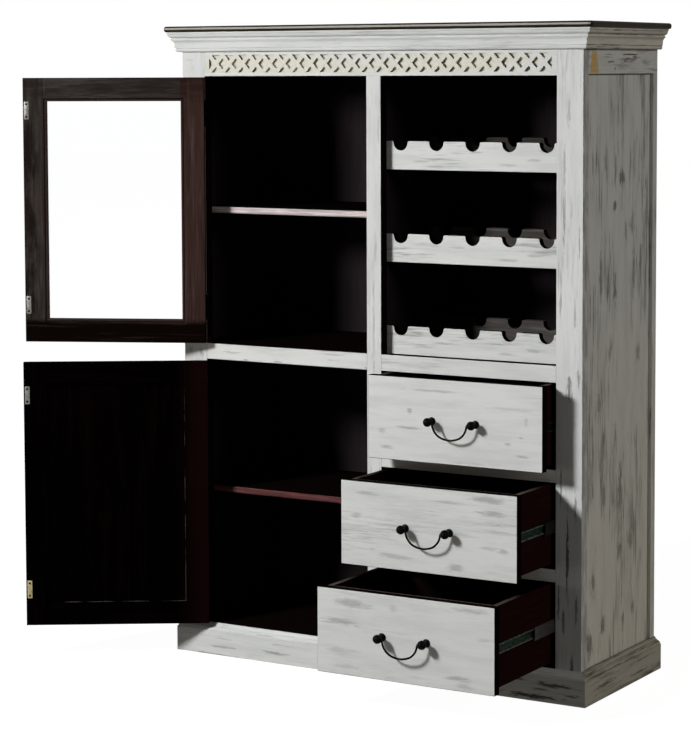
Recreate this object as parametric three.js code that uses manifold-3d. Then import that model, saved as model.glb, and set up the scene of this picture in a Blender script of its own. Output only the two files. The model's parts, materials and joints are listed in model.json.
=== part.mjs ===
// A painted wine cabinet on a moulded plinth. The left half has a glazed door over a panelled
// door, each with a shelf behind it. The right half has three tiers of notched bottle rails over
// three drawers that run on side slides and carry swinging bail pulls.
// Millimetres, +Z up, -Y is the front. The doors stand open and the drawers are drawn out in steps.
import * as THREE from 'three';
import { mergeVertices } from 'three/addons/utils/BufferGeometryUtils.js';
import Module from 'manifold-3d';

const wasm = await Module();
wasm.setup();

// Carcass
const cabinetHeight = 1600;
const carcassWidth = 1120;
const carcassDepth = 421.5;
const frameThickness = 29;
const stileWidth = 68;
const centreStileWidth = 40;
const sideThickness = 25;
const sidePanelRecess = 9;
const sideBackPost = 24;
const sideBottomRail = 62;
const sideTopRail = 107.5;
const partitionThickness = 20;
const boardThickness = 18;
const backThickness = 8;
const backInset = 4.5;

// Top board, cornice and frieze
const topThickness = 14.5;
const topOverhang = 36.5;
const topCornerRadius = 11;
const topEdgeRound = 6;
const corniceHeight = 49.5;
const corniceProjection = 29;
const friezeHeight = 61;
const latticeEndMargin = 13.25;
const latticeBottomMargin = 9;
const latticeTopMargin = 8.5;
const latticeStripWidth = 11;
const latticeDepth = 7;
const latticeCellCount = 24;

// Plinth
const plinthHeight = 79;
const plinthProjection = 18.75;
const plinthBarWidth = 40;
const plinthBackRailThickness = 18;

// Openings on the front
const drawerCount = 3;
const drawerOpening = 206;
const drawerRailHeight = 30.5;
const midRailHeight = 40;

// Shelves on the left
const shelfThickness = 16;
const shelfDrop = 2;
const shelfSetback = 23;
const shelfEdgeRound = 3;

// Bottle rails on the right
const rackTierCount = 3;
const rackHeadroom = 2;
const rackRailHeight = 69;
const rackRailThickness = 20;
const rackNotchCount = 5;
const rackNotchWidth = 39;
const rackShoulder = 3.5;
const rackEndMargin = 39;
const rackRearSetback = 223;
const rackRearRise = 5;

// Doors
const doorThickness = 22;
const doorSideGap = 4;
const doorEndGap = 3;
const doorMember = 59.5;
const doorInnerBevel = 12.5;
const doorInnerBevelDepth = 5;
const doorOuterBevel = 6;
const doorOuterBevelDepth = 4;
const doorPanelRecess = 7;
const doorPanelGroove = 2;
const doorPanelGrooveDepth = 1.5;
const glassThickness = 4;
const glassBite = 8;
const glassSetback = 9;
const seatGap = 0.3;
const upperDoorAngle = 155.5;
const lowerDoorAngle = 147;

// Butt hinges
const hingeLength = 64;
const hingeEndDistance = 90;
const hingeLeafThickness = 1.5;
const hingeLeafWidth = 19;
const hingeLeafStart = 0.75;
const hingeKnuckleCount = 5;
const hingeKnuckleRadius = 4;
const hingeKnuckleGap = 0.5;
const hingePinRadius = 1.6;
const hingePinInset = 2;
const hingePinLift = 0.5;
const hingeBoreRadius = 2.1;
const hingePinTip = 2;

// Drawers
const drawerGap = 2;
const drawerFrontThickness = 22;
const drawerFrontChamfer = 1.25;
const drawerBackGap = 37;
const drawerWall = 12;
const drawerBoxLift = 12;
const drawerBoxDrop = 2;
const drawerBottomLift = 8;
const drawerBottomThickness = 6;
const topDrawerOpenLength = 66.5;
const middleDrawerOpenLength = 195.5;
const bottomDrawerHeldLength = 44.5;

// Side slides, measured from the wall that carries them
const slideSpace = 12.75;
const slideBackGap = 30;
const slideMidSetback = 21;
const slideMidBackGap = 29;
const slideSheet = 1.25;
const slideOuterHalf = 17;
const slideOuterReach = 6.5;
const slideMidStart = 1.75;
const slideMidHalf = 12.5;
const slideMidReach = 10.5;
const slideCageStart = 2.5;
const slideCageReach = 6;
const slideRunningGap = 0.35;
const slideInnerHalf = 10.75;
const slideInnerStart = 7;
const slideCleatHeight = 60;

// Bail pulls and door knobs
const pullSpan = 117;
const rosetteRadius = 10;
const rosetteThickness = 2.5;
const neckRadius = 4.25;
const ballRadius = 10.75;
const ballStandOff = 22.5;
const ballFlat = 8.5;
const bailRodRadius = 2.2;
const bailBoreRadius = 2.9;
const bailPinDepth = 5;
const bailBoreDepth = 6.5;
const knobRadius = 12.5;
const knobStandOff = 23;
const knobRosetteRadius = 11;

// How far a cutting solid runs past the face that it cuts.
const overrun = 5;

// Facets on round work
const turnedSides = 16;
const rodSides = 4;
const bailSteps = 30;

// Cornice from the wall outwards, as shares of its projection and its height.
const corniceShares = [
  [0, 0],
  [0.3, 0],
  [0.36, 0.015],
  [0.41, 0.05],
  [0.435, 0.1],
  [0.42, 0.15],
  [0.39, 0.165],
  [0.39, 0.19],
  [0.47, 0.195],
  [0.475, 0.3],
  [0.49, 0.4],
  [0.52, 0.47],
  [0.57, 0.52],
  [0.62, 0.54],
  [0.62, 0.56],
  [0.67, 0.565],
  [0.7, 0.59],
  [0.71, 0.62],
  [0.7, 0.65],
  [0.67, 0.675],
  [0.64, 0.68],
  [0.64, 0.705],
  [0.74, 0.715],
  [0.82, 0.745],
  [0.89, 0.79],
  [0.93, 0.845],
  [0.945, 0.88],
  [0.92, 0.885],
  [0.92, 0.9],
  [0.975, 0.905],
  [1, 0.93],
  [1, 1],
  [0, 1],
];

// Plinth with an ogee on its upper edge, as shares of its projection and its height.
const plinthShares = [
  [0, 0],
  [1, 0],
  [1, 0.785],
  [0.9, 0.79],
  [0.88, 0.83],
  [0.8, 0.86],
  [0.62, 0.885],
  [0.42, 0.91],
  [0.27, 0.945],
  [0.2, 0.975],
  [0.11, 1],
  [0, 1],
];

// Half of the bail from its bend to its lowest point, as shares of half the pull's span.
const bailShares = [
  [0.815, -0.012],
  [0.785, -0.09],
  [0.765, -0.18],
  [0.68, -0.36],
  [0.48, -0.55],
  [0.2, -0.65],
  [0, -0.67],
];

// Finishes
const whitePaint = { color: 0xdcddd9, roughness: 0.55, metalness: 0 };
const ivoryPaint = { color: 0xd9d3c0, roughness: 0.6, metalness: 0 };
const shelfPaint = { color: 0x8a7772, roughness: 0.6, metalness: 0 };
const darkWood = { color: 0x2e2320, roughness: 0.5, metalness: 0 };
const topWood = { color: 0x41352f, roughness: 0.4, metalness: 0 };
const blackIron = { color: 0x1f1d1c, roughness: 0.55, metalness: 0.6 };
const zincSteel = { color: 0x8d9488, roughness: 0.35, metalness: 0.9 };
const clearGlass = { color: 0xe8f0ee, roughness: 0.05, metalness: 0, transparent: true, opacity: 0.3 };

// Places that several pieces share
const halfWidth = carcassWidth / 2;
const openingEdge = halfWidth - stileWidth;
const centreEdge = centreStileWidth / 2;
const sideInner = halfWidth - sideThickness;
const partitionLeft = centreEdge - partitionThickness;
const backFace = carcassDepth - backInset;
const backFront = backFace - backThickness;
const topUnder = cabinetHeight - topThickness;
const friezeTop = topUnder - corniceHeight;
const openingTop = friezeTop - friezeHeight;
const floorTop = plinthHeight;
const floorUnder = floorTop - boardThickness;
const drawerPitch = drawerOpening + drawerRailHeight;
const midRailUnder = floorTop + drawerCount * drawerOpening + (drawerCount - 1) * drawerRailHeight;
const deckTop = midRailUnder + midRailHeight;
const deckUnder = deckTop - boardThickness;
const rackPitch = (openingTop - deckTop - rackHeadroom) / rackTierCount;
const drawerBoxDepth = backFront - drawerFrontThickness - drawerBackGap;
const slideLength = backFront - frameThickness - slideBackGap;
const slideMidLength = slideLength - slideMidSetback - slideMidBackGap;

// Moves every vertex of a geometry by a rule.
function remap(geometry, rule) {
  const position = geometry.getAttribute('position');
  for (let i = 0; i < position.count; i += 1) {
    const [x, y, z] = rule(position.getX(i), position.getY(i), position.getZ(i));
    position.setXYZ(i, x, y, z);
  }
  return geometry;
}

// A rectangular board whose six faces lie exactly on the given values.
function board([x0, x1], [y0, y1], [z0, z1]) {
  const unit = new THREE.BoxGeometry(1, 1, 1);
  return remap(unit, (x, y, z) => [x < 0 ? x0 : x1, y < 0 ? y0 : y1, z < 0 ? z0 : z1]);
}

// A board whose front and back rectangles differ by a margin all round.
function taperedBoard([x0, x1], [yFront, yBack], [z0, z1], frontMargin, backMargin) {
  const unit = new THREE.BoxGeometry(1, 1, 1);
  return remap(unit, (x, y, z) => {
    const margin = y < 0 ? frontMargin : backMargin;
    return [x < 0 ? x0 - margin : x1 + margin, y < 0 ? yFront : yBack, z < 0 ? z0 - margin : z1 + margin];
  });
}

function outlineShape(outline) {
  return new THREE.Shape(outline.map(([a, b]) => new THREE.Vector2(a, b)));
}

function unitPrism(outlines) {
  return new THREE.ExtrudeGeometry(outlines.map(outlineShape), { depth: 1, bevelEnabled: false });
}

// Outlines in y and z, run along x.
function prismAlongX(outline, [x0, x1]) {
  return remap(unitPrism([outline]), (y, z, share) => [share < 0.5 ? x0 : x1, y, z]);
}

// Outlines in x and z, run along y.
function prismsAlongY(outlines, [y0, y1]) {
  return remap(unitPrism(outlines), (x, z, share) => [x, share < 0.5 ? y1 : y0, z]);
}

// Outlines in x and y, run along z.
function prismAlongZ(outline, [z0, z1]) {
  return remap(unitPrism([outline]), (x, y, share) => [x, y, share < 0.5 ? z0 : z1]);
}

// Round bars along z and along x.
function barAlongZ([x, y], [z0, z1], radius, sides) {
  const unit = new THREE.CylinderGeometry(radius, radius, 1, sides);
  return remap(unit, (a, b, c) => [x + a, y - c, b < 0 ? z0 : z1]);
}

function barAlongX([x0, x1], [y, z], radius, sides) {
  const unit = new THREE.CylinderGeometry(radius, radius, 1, sides);
  return remap(unit, (a, b, c) => [b < 0 ? x0 : x1, y + c, z + a]);
}

// Turned work that stands out of a front face: the profile gives radius and height off the face.
function turned(profile) {
  const points = profile.map(([radius, height]) => new THREE.Vector2(radius, height));
  const lathe = new THREE.LatheGeometry(points, turnedSides);
  return remap(lathe, (x, y, z) => [x, -y, -z]);
}

// Joins and cuts work on closed solids with shared vertices.
function solid(geometry) {
  const bare = geometry.clone();
  bare.deleteAttribute('normal');
  bare.deleteAttribute('uv');
  const merged = mergeVertices(bare);
  const corners = merged.getIndex().array;
  const kept = [];
  for (let i = 0; i < corners.length; i += 3) {
    const [a, b, c] = [corners[i], corners[i + 1], corners[i + 2]];
    if (a !== b && b !== c && c !== a) {
      kept.push(a, b, c);
    }
  }
  return new wasm.Manifold(new wasm.Mesh({
    numProp: 3,
    vertProperties: Float32Array.from(merged.getAttribute('position').array),
    triVerts: Uint32Array.from(kept),
  }));
}

function joined(...geometries) {
  return geometries.map(solid).reduce((whole, next) => whole.add(next));
}

function shaped(body) {
  const mesh = body.getMesh();
  const geometry = new THREE.BufferGeometry();
  geometry.setAttribute('position', new THREE.BufferAttribute(mesh.vertProperties, 3));
  geometry.setIndex(new THREE.BufferAttribute(mesh.triVerts, 1));
  return geometry;
}

// Builds a closed geometry from points and triangles, with its faces pointing out.
function closedGeometry(points, triangles) {
  let volume = 0;
  for (const [a, b, c] of triangles) {
    const cross = new THREE.Vector3().crossVectors(points[b], points[c]);
    volume += points[a].dot(cross);
  }
  const geometry = new THREE.BufferGeometry().setFromPoints(points);
  const faces = volume < 0 ? triangles.map(([a, b, c]) => [a, c, b]) : triangles;
  geometry.setIndex(faces.flat());
  return geometry;
}

// A moulding round the front and both sides, mitred at the two front corners.
function mitredMoulding(shares, projection, [z0, z1]) {
  const stations = [
    (out) => [-halfWidth - out, carcassDepth],
    (out) => [-halfWidth - out, -out],
    (out) => [halfWidth + out, -out],
    (out) => [halfWidth + out, carcassDepth],
  ];
  const heightOf = (share) => (share === 1 ? z1 : z0 + share * (z1 - z0));
  const points = [];
  for (const station of stations) {
    for (const [outShare, heightShare] of shares) {
      const [x, y] = station(outShare * projection);
      points.push(new THREE.Vector3(x, y, heightOf(heightShare)));
    }
  }
  const count = shares.length;
  const triangles = [];
  for (let s = 0; s + 1 < stations.length; s += 1) {
    for (let i = 0; i < count; i += 1) {
      const j = (i + 1) % count;
      const [a, b] = [s * count + i, s * count + j];
      triangles.push([a, b, b + count], [a, b + count, a + count]);
    }
  }
  const flat = shares.map(([a, b]) => new THREE.Vector2(a * projection, b * (z1 - z0)));
  const last = (stations.length - 1) * count;
  for (const [a, b, c] of THREE.ShapeUtils.triangulateShape(flat, [])) {
    triangles.push([a, c, b], [last + a, last + b, last + c]);
  }
  return closedGeometry(points, triangles);
}

// Colour and name make a node of a geometry.
function addPiece(parent, name, geometry, finish) {
  const material = new THREE.MeshStandardMaterial({ ...finish, flatShading: true });
  const mesh = new THREE.Mesh(geometry, material);
  mesh.name = name;
  parent.add(mesh);
  return mesh;
}

const cabinet = new THREE.Group();
cabinet.position.y = -carcassDepth / 2;

// Top board: half-round edges on the front and sides, sawn flush at the back.
function topBoard() {
  const side = halfWidth + topOverhang - topEdgeRound;
  const front = topEdgeRound - topOverhang;
  const back = carcassDepth + overrun;
  const plan = new THREE.Shape();
  const radius = topCornerRadius - topEdgeRound;
  plan.moveTo(-side, back);
  plan.lineTo(-side, front + radius);
  plan.absarc(-side + radius, front + radius, radius, Math.PI, 1.5 * Math.PI, false);
  plan.lineTo(side - radius, front);
  plan.absarc(side - radius, front + radius, radius, 1.5 * Math.PI, 2 * Math.PI, false);
  plan.lineTo(side, back);
  const slab = new THREE.ExtrudeGeometry(plan, {
    depth: topThickness - 2 * topEdgeRound,
    bevelThickness: topEdgeRound,
    bevelSize: topEdgeRound,
    bevelSegments: 4,
    curveSegments: 3,
  });
  slab.computeBoundingBox();
  const { min, max } = slab.boundingBox;
  remap(slab, (x, y, z) => {
    const share = (z - min.z) / (max.z - min.z);
    return [x, y, share === 0 ? topUnder : topUnder + share * topThickness];
  });
  const reach = halfWidth + topOverhang + overrun;
  const keep = board([-reach, reach], [-topOverhang - overrun, carcassDepth],
    [topUnder - overrun, cabinetHeight + overrun]);
  return shaped(solid(slab).intersect(solid(keep)));
}
addPiece(cabinet, 'top_board', topBoard(), topWood);

addPiece(cabinet, 'cornice',
  mitredMoulding(corniceShares, corniceProjection, [friezeTop, topUnder]), whitePaint);

// Frieze rail: a row of crossed strips stands in relief over sunk triangles and diamonds.
function friezeRail() {
  const left = latticeEndMargin - openingEdge;
  const pitch = (2 * openingEdge - 2 * latticeEndMargin) / latticeCellCount;
  const low = openingTop + latticeBottomMargin;
  const high = friezeTop - latticeTopMargin;
  const middle = (low + high) / 2;
  const slant = Math.hypot(pitch, high - low);
  const overStrip = latticeStripWidth / 2 * slant / pitch;
  const besideStrip = latticeStripWidth / 2 * slant / (high - low);
  const pockets = [];
  for (let cell = 0; cell < latticeCellCount; cell += 1) {
    const start = left + cell * pitch;
    const centre = start + pitch / 2;
    const end = start + pitch;
    pockets.push([[start + besideStrip, high], [centre, middle + overStrip], [end - besideStrip, high]]);
    pockets.push([[start + besideStrip, low], [end - besideStrip, low], [centre, middle - overStrip]]);
    if (cell > 0) {
      pockets.push([
        [start - pitch / 2 + besideStrip, middle],
        [start, low + overStrip],
        [centre - besideStrip, middle],
        [start, high - overStrip],
      ]);
    }
  }
  const right = left + latticeCellCount * pitch;
  const halfDiamond = pitch / 2 - besideStrip;
  pockets.push([[left, low + overStrip], [left + halfDiamond, middle], [left, high - overStrip]]);
  pockets.push([[right, low + overStrip], [right, high - overStrip], [right - halfDiamond, middle]]);
  const rail = solid(board([-openingEdge, openingEdge], [0, frameThickness], [openingTop, topUnder]));
  return shaped(rail.subtract(solid(prismsAlongY(pockets, [-overrun, latticeDepth]))));
}
addPiece(cabinet, 'frieze_rail', friezeRail(), ivoryPaint);

// Front frame
addPiece(cabinet, 'stile_left',
  board([-halfWidth, -openingEdge], [0, frameThickness], [0, topUnder]), whitePaint);
addPiece(cabinet, 'stile_center',
  board([-centreEdge, centreEdge], [0, frameThickness], [floorTop, openingTop]), whitePaint);
addPiece(cabinet, 'stile_right',
  board([openingEdge, halfWidth], [0, frameThickness], [0, topUnder]), whitePaint);

// Middle rails, each in one piece with the deck that runs back from it.
function midRail(railSpan, deckSpan) {
  const rail = board(railSpan, [0, frameThickness], [midRailUnder, deckTop]);
  const deck = board(deckSpan, [frameThickness, backFront], [deckUnder, deckTop]);
  return shaped(joined(rail, deck));
}
addPiece(cabinet, 'mid_rail_left',
  midRail([-openingEdge, -centreEdge], [-sideInner, partitionLeft]), whitePaint);
addPiece(cabinet, 'mid_rail_right',
  midRail([centreEdge, openingEdge], [centreEdge, sideInner]), whitePaint);

['drawer_rail_lower', 'drawer_rail_upper'].forEach((name, k) => {
  const under = floorTop + drawerOpening + k * drawerPitch;
  addPiece(cabinet, name,
    board([centreEdge, openingEdge], [0, frameThickness], [under, under + drawerRailHeight]), whitePaint);
});

// Sides: a sunk panel between a bottom rail, a top rail and a back post.
function sidePanel(direction) {
  const outer = direction * halfWidth;
  const inner = direction * sideInner;
  const span = (a, b) => (a < b ? [a, b] : [b, a]);
  const body = solid(board(span(inner, outer), [frameThickness, carcassDepth], [0, topUnder]));
  const sunk = board(
    span(outer - direction * sidePanelRecess, outer + direction * overrun),
    [frameThickness - overrun, carcassDepth - sideBackPost],
    [sideBottomRail, topUnder - sideTopRail]);
  return body.subtract(solid(sunk));
}
addPiece(cabinet, 'side_left', shaped(sidePanel(-1)), whitePaint);

// The right side carries three cleats that bring the slides out to the edge of the opening.
const drawerMiddles = [2, 1, 0].map((k) => floorTop + k * drawerPitch + drawerOpening / 2);
const cleats = drawerMiddles.map((middle) => board(
  [openingEdge, sideInner],
  [frameThickness, frameThickness + slideLength],
  [middle - slideCleatHeight / 2, middle + slideCleatHeight / 2]));
addPiece(cabinet, 'side_right', shaped(sidePanel(1).add(joined(...cleats))), whitePaint);

addPiece(cabinet, 'back_panel',
  board([-sideInner, sideInner], [backFront, backFace], [floorUnder, topUnder]), darkWood);
addPiece(cabinet, 'partition',
  board([partitionLeft, centreEdge], [frameThickness, backFront], [floorTop, topUnder]), darkWood);

// Bottom board, with a tongue that runs forward between the outer stiles.
const bottomBoard = joined(
  board([-openingEdge, openingEdge], [0, frameThickness], [floorUnder, floorTop]),
  board([-sideInner, sideInner], [frameThickness, backFront], [floorUnder, floorTop]));
addPiece(cabinet, 'bottom_board', shaped(bottomBoard), darkWood);

// Shelves with an eased front edge, each a little below the middle of its opening.
function shelf(low, high) {
  const under = (low + high - shelfThickness) / 2 - shelfDrop;
  const front = frameThickness + shelfSetback;
  const outline = [
    [front + shelfEdgeRound, under],
    [backFront, under],
    [backFront, under + shelfThickness],
    [front + shelfEdgeRound, under + shelfThickness],
    [front, under + shelfThickness - shelfEdgeRound],
    [front, under + shelfEdgeRound],
  ];
  return prismAlongX(outline, [-sideInner, partitionLeft]);
}
addPiece(cabinet, 'shelf_upper', shelf(deckTop, openingTop), shelfPaint);
addPiece(cabinet, 'shelf_lower', shelf(floorTop, midRailUnder), shelfPaint);

// Bottle rails: round notches with eased shoulders along the top edge.
function bottleRail(under, front) {
  const top = under + rackRailHeight;
  const pitch = (openingEdge - centreEdge - 2 * rackEndMargin) / (rackNotchCount - 1);
  const radius = rackNotchWidth / 2;
  const outline = [[centreEdge, top], [centreEdge, under], [sideInner, under], [sideInner, top]];
  const arc = (x, z, r, from, to, steps) => {
    for (let i = 0; i <= steps; i += 1) {
      const angle = from + (to - from) * i / steps;
      outline.push([x + r * Math.cos(angle), z + r * Math.sin(angle)]);
    }
  };
  for (let n = rackNotchCount - 1; n >= 0; n -= 1) {
    const x = centreEdge + rackEndMargin + n * pitch;
    const z = top - rackShoulder;
    arc(x + radius + rackShoulder, z, rackShoulder, Math.PI / 2, Math.PI, 3);
    arc(x, z, radius, -Math.PI / 14, -13 * Math.PI / 14, 12);
    arc(x - radius - rackShoulder, z, rackShoulder, 0, Math.PI / 2, 3);
  }
  return prismsAlongY([outline], [front, front + rackRailThickness]);
}
for (let tier = 0; tier < rackTierCount; tier += 1) {
  const under = deckTop + tier * rackPitch;
  addPiece(cabinet, `rack_front_rail_${tier + 1}`, bottleRail(under, frameThickness), whitePaint);
  addPiece(cabinet, `rack_rear_rail_${tier + 1}`,
    bottleRail(under + rackRearRise, frameThickness + rackRearSetback), darkWood);
}

// Plinth: mitred front and sides, with a back rail and a bar under the middle of the cabinet.
const plinth = joined(
  mitredMoulding(plinthShares, plinthProjection, [0, plinthHeight]),
  board([-plinthBarWidth / 2, plinthBarWidth / 2], [-plinthProjection / 2, backFront], [0, floorUnder]),
  board([-sideInner, sideInner], [backFace - plinthBackRailThickness, backFace], [0, floorUnder]));
addPiece(cabinet, 'plinth', shaped(plinth), whitePaint);

// Butt hinges. The pin stands in front of the door's edge, just clear of its face.
const pinX = doorSideGap / 2 + hingePinInset - openingEdge;
const pinY = -hingeKnuckleRadius - hingePinLift;
const knucklePitch = hingeLength / hingeKnuckleCount;

// Knuckles with these numbers, each joined to a strip of its leaf on one side of the pin.
function hingeHalf(direction, numbers, middle, bored) {
  const low = middle - hingeLength / 2;
  const face = direction * doorSideGap / 2 - hingePinInset;
  const inner = face - direction * hingeLeafThickness;
  const leafSpan = face < inner ? [face, inner] : [inner, face];
  let half = solid(board(leafSpan,
    [hingeKnuckleRadius + hingeLeafStart, hingeKnuckleRadius + hingeLeafWidth],
    [low, low + hingeLength]));
  for (const number of numbers) {
    const from = low + number * knucklePitch + (number > 0 ? hingeKnuckleGap / 2 : 0);
    const to = low + (number + 1) * knucklePitch - (number < hingeKnuckleCount - 1 ? hingeKnuckleGap / 2 : 0);
    const strap = board(leafSpan, [0, hingeKnuckleRadius + hingeLeafStart + hingeLeafThickness], [from, to]);
    half = half.add(solid(strap)).add(solid(barAlongZ([0, 0], [from, to], hingeKnuckleRadius, turnedSides)));
  }
  if (bored) {
    const bore = barAlongZ([0, 0], [low - overrun, low + hingeLength + overrun], hingeBoreRadius, turnedSides);
    return half.subtract(solid(bore));
  }
  const pin = barAlongZ([0, 0], [low - hingePinTip, low + hingeLength + hingePinTip], hingePinRadius, turnedSides);
  return half.add(solid(pin));
}

function hingeMiddles([under, top]) {
  return [under + hingeEndDistance, top - hingeEndDistance];
}

const upperDoorSpan = [deckTop + doorEndGap, openingTop - doorEndGap];
const lowerDoorSpan = [floorTop + doorEndGap, midRailUnder - doorEndGap];
const outerNumbers = [0, 2, 4];
const innerNumbers = [1, 3];
const hinges = [
  ['upper', upperDoorSpan],
  ['lower', lowerDoorSpan],
];
for (const [which, span] of hinges) {
  hingeMiddles(span).forEach((middle, k) => {
    const hinge = hingeHalf(-1, outerNumbers, 0, false);
    const mesh = addPiece(cabinet, `${which}_hinge_${k + 1}`, shaped(hinge), blackIron);
    mesh.position.set(pinX, pinY, middle);
  });
}

// Doors, drawn about the hinge pin as they lie when shut.
const doorNear = doorSideGap / 2 - hingePinInset;
const doorFar = doorNear + openingEdge - centreEdge - 2 * doorSideGap;
const doorFront = -pinY;
const doorBack = doorFront + doorThickness;

function doorFrame([under, top]) {
  const slab = solid(board([doorNear, doorFar], [doorFront, doorBack], [under, top]));
  const leaves = hingeMiddles([under, top]).map((middle) => hingeHalf(1, innerNumbers, middle, true));
  return leaves.reduce((whole, leaf) => whole.add(leaf), slab);
}

const windowX = [doorNear + doorMember, doorFar - doorMember];
function windowZ([under, top]) {
  return [under + doorMember, top - doorMember];
}

// Upper door: bevelled inside and out round the window, with a groove that holds the glass.
function glazedDoor(span) {
  const [z0, z1] = windowZ(span);
  const through = board(windowX, [doorFront - overrun, doorBack + overrun], [z0, z1]);
  const bead = taperedBoard(windowX, [doorBack - doorInnerBevelDepth, doorBack], [z0, z1], 0, doorInnerBevel);
  const edge = taperedBoard(windowX, [doorFront, doorFront + doorOuterBevelDepth], [z0, z1], doorOuterBevel, 0);
  const groove = board(
    [windowX[0] - glassBite, windowX[1] + glassBite],
    [doorFront + glassSetback - seatGap, doorFront + glassSetback + glassThickness + seatGap],
    [z0 - glassBite, z1 + glassBite]);
  return [through, bead, edge, groove].reduce((door, cut) => door.subtract(solid(cut)), doorFrame(span));
}

function doorGlass(span) {
  const [z0, z1] = windowZ(span);
  const bite = glassBite - seatGap;
  return board(
    [windowX[0] - bite, windowX[1] + bite],
    [doorFront + glassSetback, doorFront + glassSetback + glassThickness],
    [z0 - bite, z1 + bite]);
}

// Lower door: a sunk panel outside, and a fine groove round the flush panel inside.
function panelDoor(span) {
  const [z0, z1] = windowZ(span);
  const sunk = taperedBoard(windowX, [doorFront, doorFront + doorPanelRecess], [z0, z1], doorOuterBevel, 0);
  const island = solid(board(
    [windowX[0] + doorPanelGroove, windowX[1] - doorPanelGroove],
    [doorBack - doorPanelGrooveDepth - overrun, doorBack + overrun],
    [z0 + doorPanelGroove, z1 - doorPanelGroove]));
  const groove = solid(board(windowX, [doorBack - doorPanelGrooveDepth, doorBack + overrun], [z0, z1]));
  return doorFrame(span).subtract(solid(sunk)).subtract(groove.subtract(island));
}

// A ball on a neck and a rosette, as a profile of radii and heights off the face.
function ballProfile(radius, standOff, baseRadius) {
  const profile = [
    [0, 0],
    [baseRadius, 0],
    [baseRadius, rosetteThickness / 2],
    [(baseRadius + neckRadius) / 2, rosetteThickness],
    [neckRadius, rosetteThickness + neckRadius / 2],
  ];
  const start = Math.asin(neckRadius / radius) - Math.PI / 2;
  const steps = 7;
  for (let i = 0; i < steps; i += 1) {
    const angle = start + (Math.PI / 2 - start) * i / steps;
    profile.push([radius * Math.cos(angle), standOff + radius * Math.sin(angle)]);
  }
  profile.push([0, standOff + radius]);
  return profile;
}

function addKnob(group, name, [under, top]) {
  const knob = shaped(solid(turned(ballProfile(knobRadius, knobStandOff, knobRosetteRadius))));
  const mesh = addPiece(group, name, knob, blackIron);
  mesh.position.set(doorFar - doorMember / 2, doorFront - seatGap, (under + top) / 2);
}

function doorGroup(openAngle) {
  const group = new THREE.Group();
  group.position.set(pinX, pinY, 0);
  group.rotation.z = -THREE.MathUtils.degToRad(openAngle);
  cabinet.add(group);
  return group;
}

const upperDoor = doorGroup(upperDoorAngle);
addPiece(upperDoor, 'upper_door_frame', shaped(glazedDoor(upperDoorSpan)), darkWood);
addPiece(upperDoor, 'upper_door_glass', doorGlass(upperDoorSpan), clearGlass);
addKnob(upperDoor, 'upper_door_knob', upperDoorSpan);

const lowerDoor = doorGroup(lowerDoorAngle);
addPiece(lowerDoor, 'lower_door', shaped(panelDoor(lowerDoorSpan)), darkWood);
addKnob(lowerDoor, 'lower_door_knob', lowerDoorSpan);

// Drawer slides. Each section is drawn as distance from the wall against height off the middle.
const slideRace = slideOuterHalf - slideSheet;
const outerSection = [
  [0, -slideOuterHalf],
  [slideOuterReach, -slideOuterHalf],
  [slideOuterReach, -slideRace],
  [slideSheet, -slideRace],
  [slideSheet, slideRace],
  [slideOuterReach, slideRace],
  [slideOuterReach, slideOuterHalf],
  [0, slideOuterHalf],
];
const slideMidInner = slideMidHalf - slideSheet;
const cageTop = slideRace - slideRunningGap;
const midSection = [
  [slideMidStart, -slideMidHalf],
  [slideCageStart, -slideMidHalf],
  [slideCageStart, -cageTop],
  [slideCageReach, -cageTop],
  [slideCageReach, -slideMidHalf],
  [slideMidReach, -slideMidHalf],
  [slideMidReach, -slideMidInner],
  [slideMidStart + slideSheet, -slideMidInner],
  [slideMidStart + slideSheet, slideMidInner],
  [slideMidReach, slideMidInner],
  [slideMidReach, slideMidHalf],
  [slideCageReach, slideMidHalf],
  [slideCageReach, cageTop],
  [slideCageStart, cageTop],
  [slideCageStart, slideMidHalf],
  [slideMidStart, slideMidHalf],
];
const innerRace = slideInnerHalf - slideSheet;
const innerSection = [
  [slideSpace + slideSheet, -slideInnerHalf],
  [slideSpace + slideSheet, slideInnerHalf],
  [slideInnerStart, slideInnerHalf],
  [slideInnerStart, innerRace],
  [slideSpace - slideSheet, innerRace],
  [slideSpace - slideSheet, -innerRace],
  [slideInnerStart, -innerRace],
  [slideInnerStart, -slideInnerHalf],
];
const slideWalls = [
  ['left', centreEdge, 1],
  ['right', openingEdge, -1],
];
function slideRun(section, wall, direction, middle, ySpan) {
  const outline = section.map(([off, height]) => [wall + direction * off, middle + height]);
  return prismsAlongY([outline], ySpan);
}

// A drawer front whose four front edges are chamfered.
function drawerFront(under) {
  const x0 = centreEdge + drawerGap;
  const x1 = openingEdge - drawerGap;
  const z0 = under + drawerGap;
  const z1 = under + drawerOpening - drawerGap;
  const cut = drawerFrontChamfer;
  const tall = prismAlongX([
    [cut, z0],
    [drawerFrontThickness, z0],
    [drawerFrontThickness, z1],
    [cut, z1],
    [0, z1 - cut],
    [0, z0 + cut],
  ], [x0, x1]);
  const wide = prismAlongZ([
    [x0, cut],
    [x0 + cut, 0],
    [x1 - cut, 0],
    [x1, cut],
    [x1, drawerFrontThickness],
    [x0, drawerFrontThickness],
  ], [z0, z1]);
  return shaped(solid(tall).intersect(solid(wide)));
}

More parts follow.
